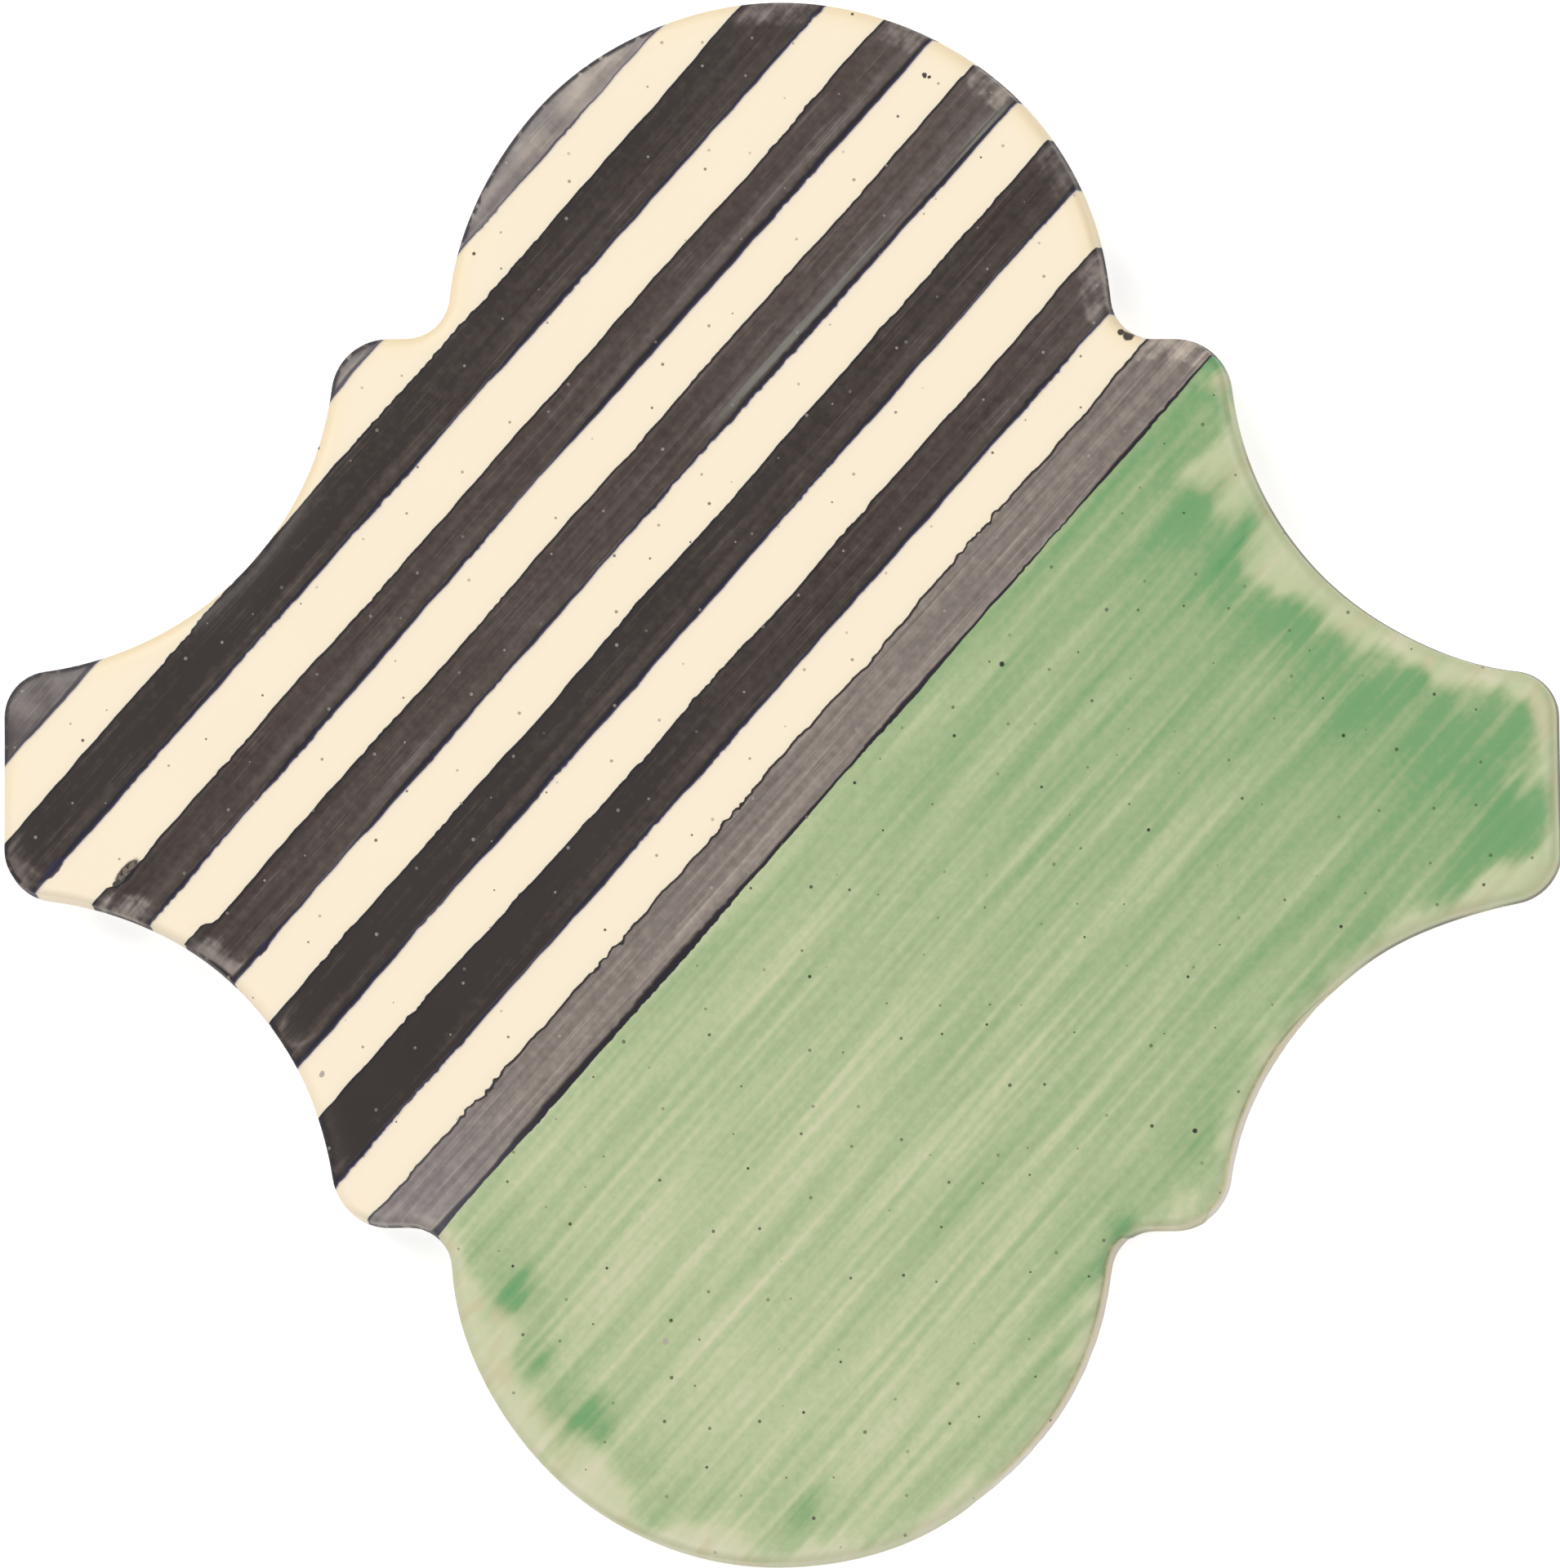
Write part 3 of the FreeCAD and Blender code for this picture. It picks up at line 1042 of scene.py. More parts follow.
    def use(self, effect: "Effect", **values: Value) -> dict[str, bpy.types.NodeSocket]:
        """Place a group of nodes.

        Args:
            effect: the group.
            **values: its inputs, with underscores for the spaces in their names.

        Returns:
            Its outputs by name.
        """
        node = self.node("ShaderNodeGroup", node_tree=effect.tree)
        for name, value in values.items():
            self.feed(node.inputs[name.replace("_", " ")], value)
        return {socket.name: socket for socket in node.outputs}


class Effect(ABC):
    """A group of shader nodes that is built once and placed with its own values where it is used."""

    name: str
    inputs: dict[str, float | tuple[float, float, float]]
    outputs: tuple[str, ...]

    def __init__(self) -> None:
        """Build the group."""
        self.tree = bpy.data.node_groups.new(self.name, "ShaderNodeTree")
        for name, default in self.inputs.items():
            kind = "NodeSocketVector" if isinstance(default, tuple) else "NodeSocketFloat"
            socket = self.tree.interface.new_socket(name, in_out="INPUT", socket_type=kind)
            socket.default_value = default
        for name in self.outputs:
            self.tree.interface.new_socket(name, in_out="OUTPUT", socket_type="NodeSocketFloat")
        graph = Graph(self.tree)
        entry = graph.node("NodeGroupInput")
        leave = graph.node("NodeGroupOutput")
        given = {name: entry.outputs[name] for name in self.inputs}
        for name, socket in zip(self.outputs, self.wire(graph, given)):
            graph.feed(leave.inputs[name], socket)

    @abstractmethod
    def wire(self, graph: Graph, given: dict[str, bpy.types.NodeSocket]) -> Sequence[Value]:
        """Lay the group's nodes.

        Args:
            graph: the group's node tree.
            given: the group's inputs by name.

        Returns:
            What each output gives, in order.
        """


class StrokeFrame(Effect):
    """Turns a place on the face into distances along and across the brush strokes."""

    name = "Stroke Frame"
    inputs = {"Place": (0.0, 0.0, 0.0), "Angle": 0.0}
    outputs = ("Along", "Across")

    def wire(self, graph: Graph, given: dict[str, bpy.types.NodeSocket]) -> Sequence[Value]:
        """Turn the place by the strokes' angle."""
        x, y, _ = graph.split(given["Place"])
        cos, sin = (graph.math(kind, given["Angle"]) for kind in ("COSINE", "SINE"))
        along = graph.add(graph.times(x, cos), graph.times(y, sin))
        return along, graph.less(graph.times(y, cos), graph.times(x, sin))


class EdgeTear(Effect):
    """How far the edge of a brush stroke strays: a slow sway, a finer one, and torn bites."""

    name = "Edge Tear"
    inputs = {"Place": (0.0, 0.0, 0.0), "Sway": 0.9, "Fine": 0.35, "Bite": 0.4, "Torn": 1.0}
    outputs = ("Shift", "Slow")

    def wire(self, graph: Graph, given: dict[str, bpy.types.NodeSocket]) -> Sequence[Value]:
        """Add the three kinds of straying."""
        place = given["Place"]
        slow = graph.waver(place, 0.075)
        fine = graph.times(graph.waver(place, 0.36), given["Fine"], given["Torn"])
        torn = graph.rise(graph.waver(place, 0.11), 0.0, 0.2)
        bite = graph.times(graph.waver(place, 1.1, 1.0), given["Bite"], given["Torn"],
                           graph.add(torn, 0.3))
        return graph.add(graph.times(slow, given["Sway"]), fine, bite), slow


class BrushStroke(Effect):
    """Broad dark strokes, from how far inside the nearest stroke a place lies.

    Side is 0 by a stroke's lower right edge, where the ink gathered, and 1 by its torn upper left
    edge. Pigment runs from 0 for none to 1 for the blue-black of the thickest ridges.
    """

    name = "Brush Stroke"
    inputs = {
        "Along": 0.0, "Across": 0.0, "Rim": 0.0, "Inside": 0.0, "Side": 0.0, "Load": 0.75,
        "Streak": 0.3, "Mottle": 0.0, "Lift": 0.15, "Torn": 1.0, "Ridge": 0.6,
        "Ridge Ink": 0.95, "Torn Ink": 0.9,
    }
    outputs = ("Pigment", "Cover", "Halo", "Fringe", "Relief")

    def __init__(self, tear: EdgeTear) -> None:
        """Keep the group that frays the edges, and build this one."""
        self.tear = tear
        super().__init__()

    def wire(self, graph: Graph, given: dict[str, bpy.types.NodeSocket]) -> Sequence[Value]:
        """Lay the strokes."""
        along, across, rim, side = (given[name] for name in ("Along", "Across", "Rim", "Side"))
        apart = graph.times(graph.math("GREATER_THAN", side, 0.5), 137.0)
        place = graph.vector(graph.add(along, apart), graph.times(across, 0.6), 0.0)
        tear = graph.use(self.tear, Place=place, Sway=0.4, Fine=0.18, Bite=0.25,
                         Torn=given["Torn"])
        inside = graph.add(given["Inside"], tear["Shift"])
        cover = graph.rise(inside, -0.04, 0.05)

        low_side = graph.fall(side, 0.3, 0.7)
        hairs = graph.vector(graph.times(along, 0.02), across, 0.0)
        streak = graph.waver(hairs, 0.9, 2.0, 0.62)
        spot = graph.vector(along, across, 0.0)
        cloud = graph.waver(spot, 0.6, 2.0, 0.65)
        lift = graph.times(given["Lift"], graph.rise(inside, 0.3, 0.9),
                           graph.fall(graph.add(rim, graph.times(graph.add(streak, cloud), 2.2)),
                                      0.7, 2.6))
        scratch = graph.rise(graph.waver(hairs, 5.5), 0.2, 0.3)
        # Painted sheen: a lighter band along the stroke's lower side, taken out of the pigment, stands in
        # for a highlight.
        painted_sheen = graph.times(graph.bell(inside, 1.25, 0.55), low_side, given["Load"],
                           graph.add(0.1, graph.times(tear["Slow"], 0.3)))
        load = graph.add(given["Load"], graph.times(streak, given["Streak"]), given["Mottle"],
                         graph.times(cloud, 0.14), graph.times(graph.add(lift, painted_sheen), -1.0),
                         graph.times(scratch, -0.1))
        load = graph.math("MINIMUM", load, 0.92)

        swell = graph.math("MAXIMUM", graph.add(1.0, graph.times(tear["Slow"], 2.2)), 0.4)
        depth = graph.math("DIVIDE", inside, graph.times(swell, given["Ridge"]))
        ridge = graph.times(graph.fall(depth, 0.7, 1.35), given["Ridge Ink"], low_side)
        crust = graph.times(graph.fall(inside, 0.15, 0.34), given["Torn Ink"])
        crust = graph.times(crust, graph.less(1.0, low_side))
        broken = graph.rise(graph.waver(spot, 1.1, 1.0), -0.2, 0.0)
        # Darkest along the foot: pooled ink at the roll, and painted shade at the bottom of the lip by the
        # floor.
        pool_and_shade = graph.times(graph.fall(rim, 0.1, 0.6), broken, 0.95)
        load = graph.toward(load, 1.0, graph.math("MAXIMUM", ridge, pool_and_shade))
        load = graph.toward(load, 1.0, crust)

        outside = graph.times(inside, -1.0)
        halo = graph.times(graph.fall(outside, 0.0, 0.4), 0.6)
        halo = graph.add(halo, graph.times(graph.fall(outside, 0.1, 1.1), 0.4))
        fringe = graph.times(graph.bell(inside, 0.0, 0.13), low_side)
        relief = graph.times(cover, graph.add(1.0, ridge))
        return load, cover, halo, fringe, relief


class DryStreak(Effect):
    """A thin place where the brush ran dry, narrow and straight along the stroke."""

    name = "Dry Streak"
    inputs = {"Along": 0.0, "Across": 0.0, "Start": 0.0, "End": 1.0,
              "Start Across": 0.0, "End Across": 0.0, "Width": 0.8}
    outputs = ("Mask",)

    def wire(self, graph: Graph, given: dict[str, bpy.types.NodeSocket]) -> Sequence[Value]:
        """Fade out from the middle line and towards both ends."""
        along, across = given["Along"], given["Across"]
        length = graph.less(given["End"], given["Start"])
        share = graph.math("DIVIDE", graph.less(along, given["Start"]), length)
        line = graph.toward(given["Start Across"], given["End Across"], share)
        away = graph.math("ABSOLUTE", graph.less(across, line))
        near = graph.fall(graph.math("DIVIDE", away, given["Width"]), 0.3, 0.6)
        ends = graph.times(graph.rise(share, -0.02, 0.12), graph.fall(share, 0.8, 1.02))
        hairs = graph.vector(graph.times(along, 0.05), graph.times(across, 2.6), 3.0)
        gaps = graph.rise(graph.waver(hairs, 1.0, 1.0), -0.22, 0.08)
        return (graph.times(near, ends, gaps),)


class BrushMark(Effect):
    """The rounded mark that a lifted brush leaves at the end of a stroke."""

    name = "Brush Mark"
    inputs = {"Along": 0.0, "Across": 0.0, "Centre Along": 0.0, "Centre Across": 0.0,
              "Length": 3.0, "Width": 1.8}
    outputs = ("Mask",)

    def wire(self, graph: Graph, given: dict[str, bpy.types.NodeSocket]) -> Sequence[Value]:
        """Draw an oval line that fades out towards the rest of the stroke."""
        ahead = graph.math("DIVIDE", graph.less(given["Along"], given["Centre Along"]),
                           given["Length"])
        aside = graph.math("DIVIDE", graph.less(given["Across"], given["Centre Across"]),
                           given["Width"])
        size = graph.math("SQRT", graph.add(graph.times(ahead, ahead), graph.times(aside, aside)))
        return (graph.times(graph.bell(size, 1.0, 0.12), graph.fall(ahead, -0.3, 0.6)),)


class WashStreaks(Effect):
    """Long soft streaks that a wet brush leaves in a thin wash, and clouds drawn out along them."""

    name = "Wash Streaks"
    inputs = {"Along": 0.0, "Across": 0.0, "Broad": 1.0, "Fine": 1.0, "Clouds": 1.0}
    outputs = ("Streaks", "Cloud")

    def wire(self, graph: Graph, given: dict[str, bpy.types.NodeSocket]) -> Sequence[Value]:
        """Add broad and fine streaks, thin bright lines and clouds."""
        along, across = given["Along"], given["Across"]
        broad = graph.vector(graph.times(along, 0.028), graph.times(across, 0.5), 1.0)
        fine = graph.vector(graph.times(along, 0.036), graph.times(across, 1.1), 7.0)
        drawn = graph.vector(graph.times(along, 0.12), graph.times(across, 0.36), 4.0)
        hair = graph.waver(fine, 1.0, 1.0)
        cloud = graph.waver(drawn, 1.0, 2.0, 0.55)
        streaks = graph.add(graph.times(graph.waver(broad, 1.0, 1.0, 0.6), given["Broad"]),
                            graph.times(hair, given["Fine"]),
                            graph.times(graph.rise(hair, 0.1, 0.25), -0.1),
                            graph.times(cloud, given["Clouds"]))
        return streaks, cloud


class Specks(Effect):
    """Small round specks scattered over a face or through a body, as iron spots in glaze and clay."""

    inputs = {"Place": (0.0, 0.0, 0.0), "Cell": 4.0, "Radius": 0.3, "Share": 1.0}
    outputs = ("Mask",)

    def __init__(self, reach: Reach) -> None:
        """Build the group for a face or for a body."""
        self.reach = reach
        self.name = f"Specks {reach.value}"
        super().__init__()

    def wire(self, graph: Graph, given: dict[str, bpy.types.NodeSocket]) -> Sequence[Value]:
        """Put one speck in each cell and leave some out."""
        cells = graph.node("ShaderNodeTexVoronoi", voronoi_dimensions=self.reach.value)
        graph.feed(cells.inputs["Vector"], given["Place"])
        graph.feed(cells.inputs["Scale"], graph.math("DIVIDE", 1.0, given["Cell"]))
        away = graph.times(cells.outputs["Distance"], given["Cell"])
        pick, strength, _ = graph.split(cells.outputs["Color"])
        size = graph.math("DIVIDE", away, graph.times(given["Radius"], graph.add(0.6, pick)))
        spot = graph.fall(size, 0.55, 1.0)
        kept = graph.math("LESS_THAN", pick, given["Share"])
        return (graph.times(spot, kept, graph.add(0.3, graph.times(strength, 0.7))),)


class Blot(Effect):
    """One ragged spot at a named place on the face, round or drawn out along the strokes."""

    name = "Blot"
    inputs = {"Along": 0.0, "Across": 0.0, "Centre Along": 0.0, "Centre Across": 0.0,
              "Stretch": 1.0, "Radius": 0.5, "Ragged": 0.5, "Stray": 0.0, "Before": 0.0}
    outputs = ("Mask",)

    def wire(self, graph: Graph, given: dict[str, bpy.types.NodeSocket]) -> Sequence[Value]:
        """Add the spot to those before it."""
        ahead = graph.math("DIVIDE", graph.less(given["Along"], given["Centre Along"]),
                           given["Stretch"])
        aside = graph.less(given["Across"], given["Centre Across"])
        away = graph.math("SQRT", graph.add(graph.times(ahead, ahead), graph.times(aside, aside)))
        size = graph.math("DIVIDE", away, given["Radius"])
        size = graph.math("MULTIPLY_ADD", given["Stray"], given["Ragged"], size)
        return (graph.math("MAXIMUM", graph.fall(size, 0.75, 1.1), given["Before"]),)


class Grain(Effect):
    """Fine grain and slow mottling, for roughness, bumps and small shifts of colour."""

    inputs = {"Place": (0.0, 0.0, 0.0), "Fine Scale": 4.0, "Slow Scale": 0.1}
    outputs = ("Fine", "Slow")

    def __init__(self, reach: Reach) -> None:
        """Build the group for a face or for a body."""
        self.reach = reach
        self.name = f"Grain {reach.value}"
        super().__init__()

    def wire(self, graph: Graph, given: dict[str, bpy.types.NodeSocket]) -> Sequence[Value]:
        """Give both kinds of noise."""
        fine = graph.waver(given["Place"], given["Fine Scale"], 1.0, 0.6, self.reach)
        return fine, graph.waver(given["Place"], given["Slow Scale"], 1.0, 0.5, self.reach)


@dataclass
class Effects:
    """The groups that the materials place."""

    def __post_init__(self) -> None:
        """Build each group once."""
        self.frame = StrokeFrame()
        self.stroke = BrushStroke(EdgeTear())
        self.dry = DryStreak()
        self.mark = BrushMark()
        self.wash = WashStreaks()
        self.face_specks = Specks(Reach.FLAT)
        self.specks = Specks(Reach.SOLID)
        self.blot = Blot()
        self.face_grain = Grain(Reach.FLAT)
        self.grain = Grain(Reach.SOLID)


@dataclass(frozen=True)
class Edge:
    """One long edge of a stroke, as a gently bowed line across the stroke frame."""

    place: float
    slope: float = 0.0
    bow: float = 0.0
    flare: float = 0.0
    flare_at: float = 0.0
    flare_reach: float = 0.7

    def line(self, along: np.ndarray) -> np.ndarray:
        """Where the edge runs, across the stroke, for distances along it."""
        start, end = self.flare_at - self.flare_reach, self.flare_at + self.flare_reach
        flare = self.flare * (1 - smooth_step(along, start, end))
        return self.place + along * (self.slope + along * self.bow) + flare


@dataclass(frozen=True)
class Stroke:
    """One dark stroke: its edges, how much pigment it carries, and how the brush left it."""

    low: Edge
    high: Edge
    load: float
    drift: float = 0.0
    streak: float = 0.3
    mottle: float = 0.0
    lift_left: float = 0.1
    lift_right: float = 0.1
    torn: float = 1.0
    ridge: float = 0.42
    ridge_drift: float = 0.0
    ridge_ink: float = 0.95
    blue_left: float = 0.0
    blue_right: float = 0.0

    def inside(self, along: np.ndarray, across: np.ndarray) -> tuple[np.ndarray, np.ndarray]:
        """How far some places lie inside the stroke.

        Args:
            along: distances along the strokes.
            across: distances across them.

        Returns:
            The distance from the nearer edge, below zero outside, and 1 where that is the high one.
        """
        above_low = across - self.low.line(along)
        below_high = self.high.line(along) - across
        return np.minimum(above_low, below_high), (below_high < above_low).astype(float)


@dataclass(frozen=True)
class Patch:
    """A thicker or thinner place of the green wash, by its pixel in the photograph."""

    x: float
    y: float
    length: float
    width: float
    amount: float


class Tone(Enum):
    """What a spot on the face is made of, by its colour."""

    IRON = (44, 38, 36)
    INK = (42, 38, 64)
    CRUST = (36, 31, 32)
    LACE = (122, 108, 98)
    SMUDGE = (178, 170, 158)


@dataclass(frozen=True)
class Spot:
    """A spot on the face, by its pixel in the photograph."""

    x: float
    y: float
    radius: float
    ragged: float = 0.5
    tone: Tone = Tone.IRON
    stretch: float = 1.0


def start_material(name: str) -> tuple[bpy.types.Material, Graph, bpy.types.Node]:
    """Make a material with one shader.

    Args:
        name: the material's name.

    Returns:
        The material, its graph and its Principled BSDF.
    """
    material = bpy.data.materials.new(name)
    material.use_nodes = True
    return material, Graph(material.node_tree), material.node_tree.nodes["Principled BSDF"]


def carry(mesh: bpy.types.Mesh, **measures: np.ndarray) -> None:
    """Let a mesh carry numbers at its vertices, under the given names."""
    for name, values in measures.items():
        attribute = mesh.attributes.new(name, "FLOAT", "POINT")
        attribute.data.foreach_set("value", values.astype(np.float32))


@dataclass(frozen=True)
class PaintedGlaze:
    """The painted face: cream glaze, a green wash over one half, and dark strokes."""

    effects: Effects
    angle: float = math.radians(48.3)
    cream: Colour = (252, 237, 212)
    cream_rim: Colour = (249, 229, 192)
    lip: Colour = (226, 209, 166)
    halo: Colour = (236, 226, 197)
    fringe: Colour = (118, 110, 150)
    blue: Colour = (134, 133, 146)
    dry: Colour = (138, 139, 130)
    fleck: Colour = (214, 206, 198)
    beige: Colour = (202, 192, 154)
    rim_line: Colour = (96, 84, 80)
    wash_edge: float = -3.0
    wash_end: float = 0.5
    wash_end_right: float = 2.4
    wash_end_left: float = 2.6
    wash_end_uneven: float = 4.0
    strokes: tuple[Stroke, ...] = (
        Stroke(Edge(57.55), Edge(200.0), 0.48, -0.0028, mottle=0.18, lift_left=-0.1, ridge=0.3,
               ridge_ink=0.7, blue_left=0.1, blue_right=0.12),
        Stroke(Edge(46.99, -0.0015), Edge(52.87, 0.0037), 0.9, -0.0006, lift_left=0.3,
               lift_right=0.35),
        Stroke(Edge(37.02, 0.004, -0.0001), Edge(41.65, 0.002, flare=0.75, flare_at=-50.8,
                                                 flare_reach=0.3),
               0.8, -0.0009, lift_left=0.42, lift_right=0.25),
        Stroke(Edge(26.79, 0.0006, -0.00005), Edge(32.19, 0.002, flare=0.85, flare_at=-47.2),
               0.78, -0.0014, lift_left=0.38, lift_right=0.35),
        Stroke(Edge(16.61, 0.001), Edge(21.78, 0.0032), 0.91, -0.0009, lift_right=0.25),
        Stroke(Edge(6.09, 0.0012), Edge(11.4, -0.0035, 0.00008), 0.89, -0.0026, torn=1.2,
               lift_right=0.3),
        Stroke(Edge(-4.42, 0.0042, 0.00004), Edge(1.34, 0.0024, 0.00011), 0.45, 0.0004, streak=0.5,
               torn=2.2, lift_right=0.3, ridge=0.42, ridge_drift=-0.0035, ridge_ink=0.98,
               blue_left=0.2),
    )
    pigments: tuple[tuple[float, Colour], ...] = (
        (0.0, (205, 190, 170)),
        (0.2, (176, 164, 152)),
        (0.45, (132, 122, 115)),
        (0.62, (101, 91, 87)),
        (0.74, (83, 72, 67)),
        (0.8, (73, 63, 58)),
        (0.9, (57, 48, 43)),
        (0.95, (46, 40, 42)),
        (1.0, (32, 29, 41)),
    )
    greens: tuple[tuple[float, Colour], ...] = (
        (0.02, (214, 211, 180)),
        (0.12, (203, 206, 168)),
        (0.21, (192, 201, 159)),
        (0.3, (183, 195, 152)),
        (0.39, (172, 189, 144)),
        (0.49, (162, 182, 136)),
        (0.6, (149, 176, 127)),
        (0.68, (140, 171, 122)),
        (0.76, (128, 168, 116)),
        (0.88, (115, 164, 110)),
        (1.0, (84, 148, 100)),
    )
    wash_along: tuple[tuple[float, float], ...] = (
        (-60.0, 0.36), (-44.0, 0.32), (-24.0, 0.40), (0.0, 0.5), (28.0, 0.63), (44.0, 0.8),
        (56.0, 0.81), (66.0, 0.8),
    )
    patches: tuple[Patch, ...] = (
        Patch(625, 1583, 2.2, 1.7, 0.75),
        Patch(660, 1664, 2.0, 1.1, 0.5),
        Patch(712, 1735, 2.4, 2.2, 0.75),
        Patch(985, 1845, 2.6, 1.0, 0.5),
        Patch(1372, 1502, 1.8, 1.2, 0.8),
        Patch(1354, 1548, 2.2, 0.9, 0.6),
        Patch(1455, 1400, 5.0, 1.2, 0.2),
        Patch(1448, 1480, 3.0, 1.8, -0.4),
        Patch(1455, 640, 4.5, 1.6, 0.15),
        Patch(1510, 690, 4.0, 1.6, 0.4),
        Patch(1530, 630, 3.6, 1.6, 0.35),
        Patch(1483, 444, 1.9, 1.3, 2.2),
        Patch(1500, 482, 2.2, 0.9, 0.7),
        Patch(1586, 776, 3.6, 1.5, 0.35),
        Patch(1668, 852, 4.5, 2.2, 0.35),
        Patch(1755, 920, 5.0, 3.0, 0.25),
        Patch(1830, 950, 4.5, 2.6, 0.25),
        Patch(1840, 1010, 5.0, 2.2, 0.25),
        Patch(1482, 500, 3.2, 1.2, -0.35),
        Patch(1560, 560, 5.0, 1.2, -0.25),
        Patch(1700, 800, 6.0, 1.2, -0.35),
        Patch(1800, 850, 4.0, 1.4, -0.35),
    )
    spots: tuple[Spot, ...] = (
        Spot(1380, 413, 0.58, 0.1),
        Spot(1371, 409, 0.36, 0.2),
        Spot(1131, 95, 0.3, 0.7),
        Spot(1137, 97, 0.2, 0.9),
        Spot(1226, 814, 0.26, 0.3),
        Spot(1461, 1384, 0.24, 0.3),
        Spot(156, 1066, 0.68, 0.05, Tone.CRUST, 2.6),
        Spot(143, 1081, 0.4, 0.08, Tone.CRUST),
        Spot(155, 1065, 0.3, 0.9, Tone.LACE, 3.6),
        Spot(157, 1060, 0.13, 0.3),
        Spot(150, 1069, 0.13, 0.3),
        Spot(66, 1062, 0.55, 0.1, Tone.INK, 2.6),
        Spot(322, 1160, 0.42, 0.15, Tone.INK, 2.6),
        Spot(815, 1640, 0.34, 0.5, Tone.SMUDGE),
        Spot(395, 1313, 0.28, 0.6, Tone.SMUDGE),
    )

    def turn(self, x: np.ndarray, y: np.ndarray) -> tuple[np.ndarray, np.ndarray]:
        """Distances along and across the strokes of places on the face."""
        cos, sin = math.cos(self.angle), math.sin(self.angle)
        return x * cos + y * sin, y * cos - x * sin

    def paint(self, mesh: bpy.types.Mesh) -> None:
        """Let the mesh carry the painting's slow measures, from which the material draws it."""
        places = np.zeros(len(mesh.vertices) * 3)
        mesh.vertices.foreach_get("co", places)
        places = places.reshape(-1, 3) / MM
        along, across = self.turn(places[:, 0], places[:, 1])

        found = [stroke.inside(along, across) for stroke in self.strokes]
        depths = np.array([depth for depth, _ in found])
        chosen = depths.argmax(axis=0)
        rows = np.arange(len(places))
        side = np.array([side for _, side in found])[chosen, rows]

        def of_stroke(name: str) -> np.ndarray:
            """One number of the nearest stroke, for each vertex."""
            return np.array([getattr(stroke, name) for stroke in self.strokes])[chosen]

        mottle = of_stroke("mottle") * wander(places[:, :2], 2.6, 31.0)
        mottle += of_stroke("mottle") * wander(places[:, :2], 8.0, 33.0)
        carry(mesh, stroke_inside=depths[chosen, rows], stroke_side=side,
              stroke_load=of_stroke("load") + of_stroke("drift") * along,
              stroke_streak=of_stroke("streak"), stroke_mottle=mottle,
              stroke_torn=1 + (of_stroke("torn") - 1) * side,
              stroke_lift=of_stroke("lift_left") * (1 - smooth_step(along, -42.0, -36.0))
              + of_stroke("lift_right") * smooth_step(along, 34.0, 42.0),
              stroke_blue=of_stroke("blue_left") * (1 - smooth_step(along, -55.0, -35.0))
              + of_stroke("blue_right") * smooth_step(along, -55.0, -35.0),
              stroke_ridge=of_stroke("ridge") + of_stroke("ridge_drift") * along,
              stroke_ridge_ink=of_stroke("ridge_ink"))

        wash = np.interp(along, *zip(*self.wash_along))
        left = 1 - smooth_step(along, -40.0, 30.0)
        wash += 0.05 * left * smooth_step(across, -22.0, -5.0)
        stray = np.column_stack([along, across])
        stray = wander(stray, 3.0, 41.0)
        patches = np.zeros(len(places))
        for patch in self.patches:
            centre = self.turn(*PHOTO.place(patch.x, patch.y))
            drift = stray * patch.width * 0.7
            away = ((along - centre[0] + drift) / patch.length) ** 2
            away += ((across - centre[1] + drift) / patch.width) ** 2
            patches += patch.amount * np.exp(-away)
        end = self.wash_end + self.wash_end_right * smooth_step(along, 22.0, 40.0)
        end += self.wash_end_left * (1 - smooth_step(places[:, 0], -16.0, 8.0))
        end += self.wash_end_uneven * (end - self.wash_end) * wander(places[:, :2], 8.0, 47.0) / 2
        tint = 0.25 + 0.75 * smooth_step(places[:, 1], -12.0, 12.0)
        line = smooth_step(places[:, 0], 14.0, 34.0) * (0.5 + 0.5 * smooth_step(places[:, 1], -28.0, -10.0))
        carry(mesh, wash_load=wash, wash_patch=patches, wash_end=end, wash_rim=line,
              rim_tint=tint)

    def make(self) -> bpy.types.Material:
        """Make the material."""
        material, graph, shader = start_material("painted_glaze")
        place = graph.millimetres()
        rim = graph.attribute(RIM_ATTRIBUTE)
        turned = graph.use(self.effects.frame, Place=place, Angle=self.angle)
        along, across = turned["Along"], turned["Across"]
        foot = graph.attribute("foot")
        coated = graph.attribute("coated")
        grain = graph.use(self.effects.face_grain, Place=place, Fine_Scale=1.2,
                          Slow_Scale=0.07)
        stroke = graph.use(
            self.effects.stroke, Along=along, Across=across, Rim=foot,
            Inside=graph.attribute("stroke_inside"), Side=graph.attribute("stroke_side"),
            Load=graph.attribute("stroke_load"), Streak=graph.attribute("stroke_streak"),
            Mottle=graph.add(graph.attribute("stroke_mottle"), graph.times(grain["Fine"], 0.14)),
            Lift=graph.attribute("stroke_lift"), Torn=graph.attribute("stroke_torn"),
            Ridge=graph.attribute("stroke_ridge"), Ridge_Ink=graph.attribute("stroke_ridge_ink"))
        dry = graph.use(self.effects.dry, Along=along, Across=across, Start=66.0, End=20.0,
                        Start_Across=27.3, End_Across=28.0, Width=0.75)["Mask"]

        mark = graph.use(self.effects.mark, Along=along, Across=across, Centre_Along=-47.7,
                         Centre_Across=19.1, Length=3.1, Width=1.8)["Mask"]

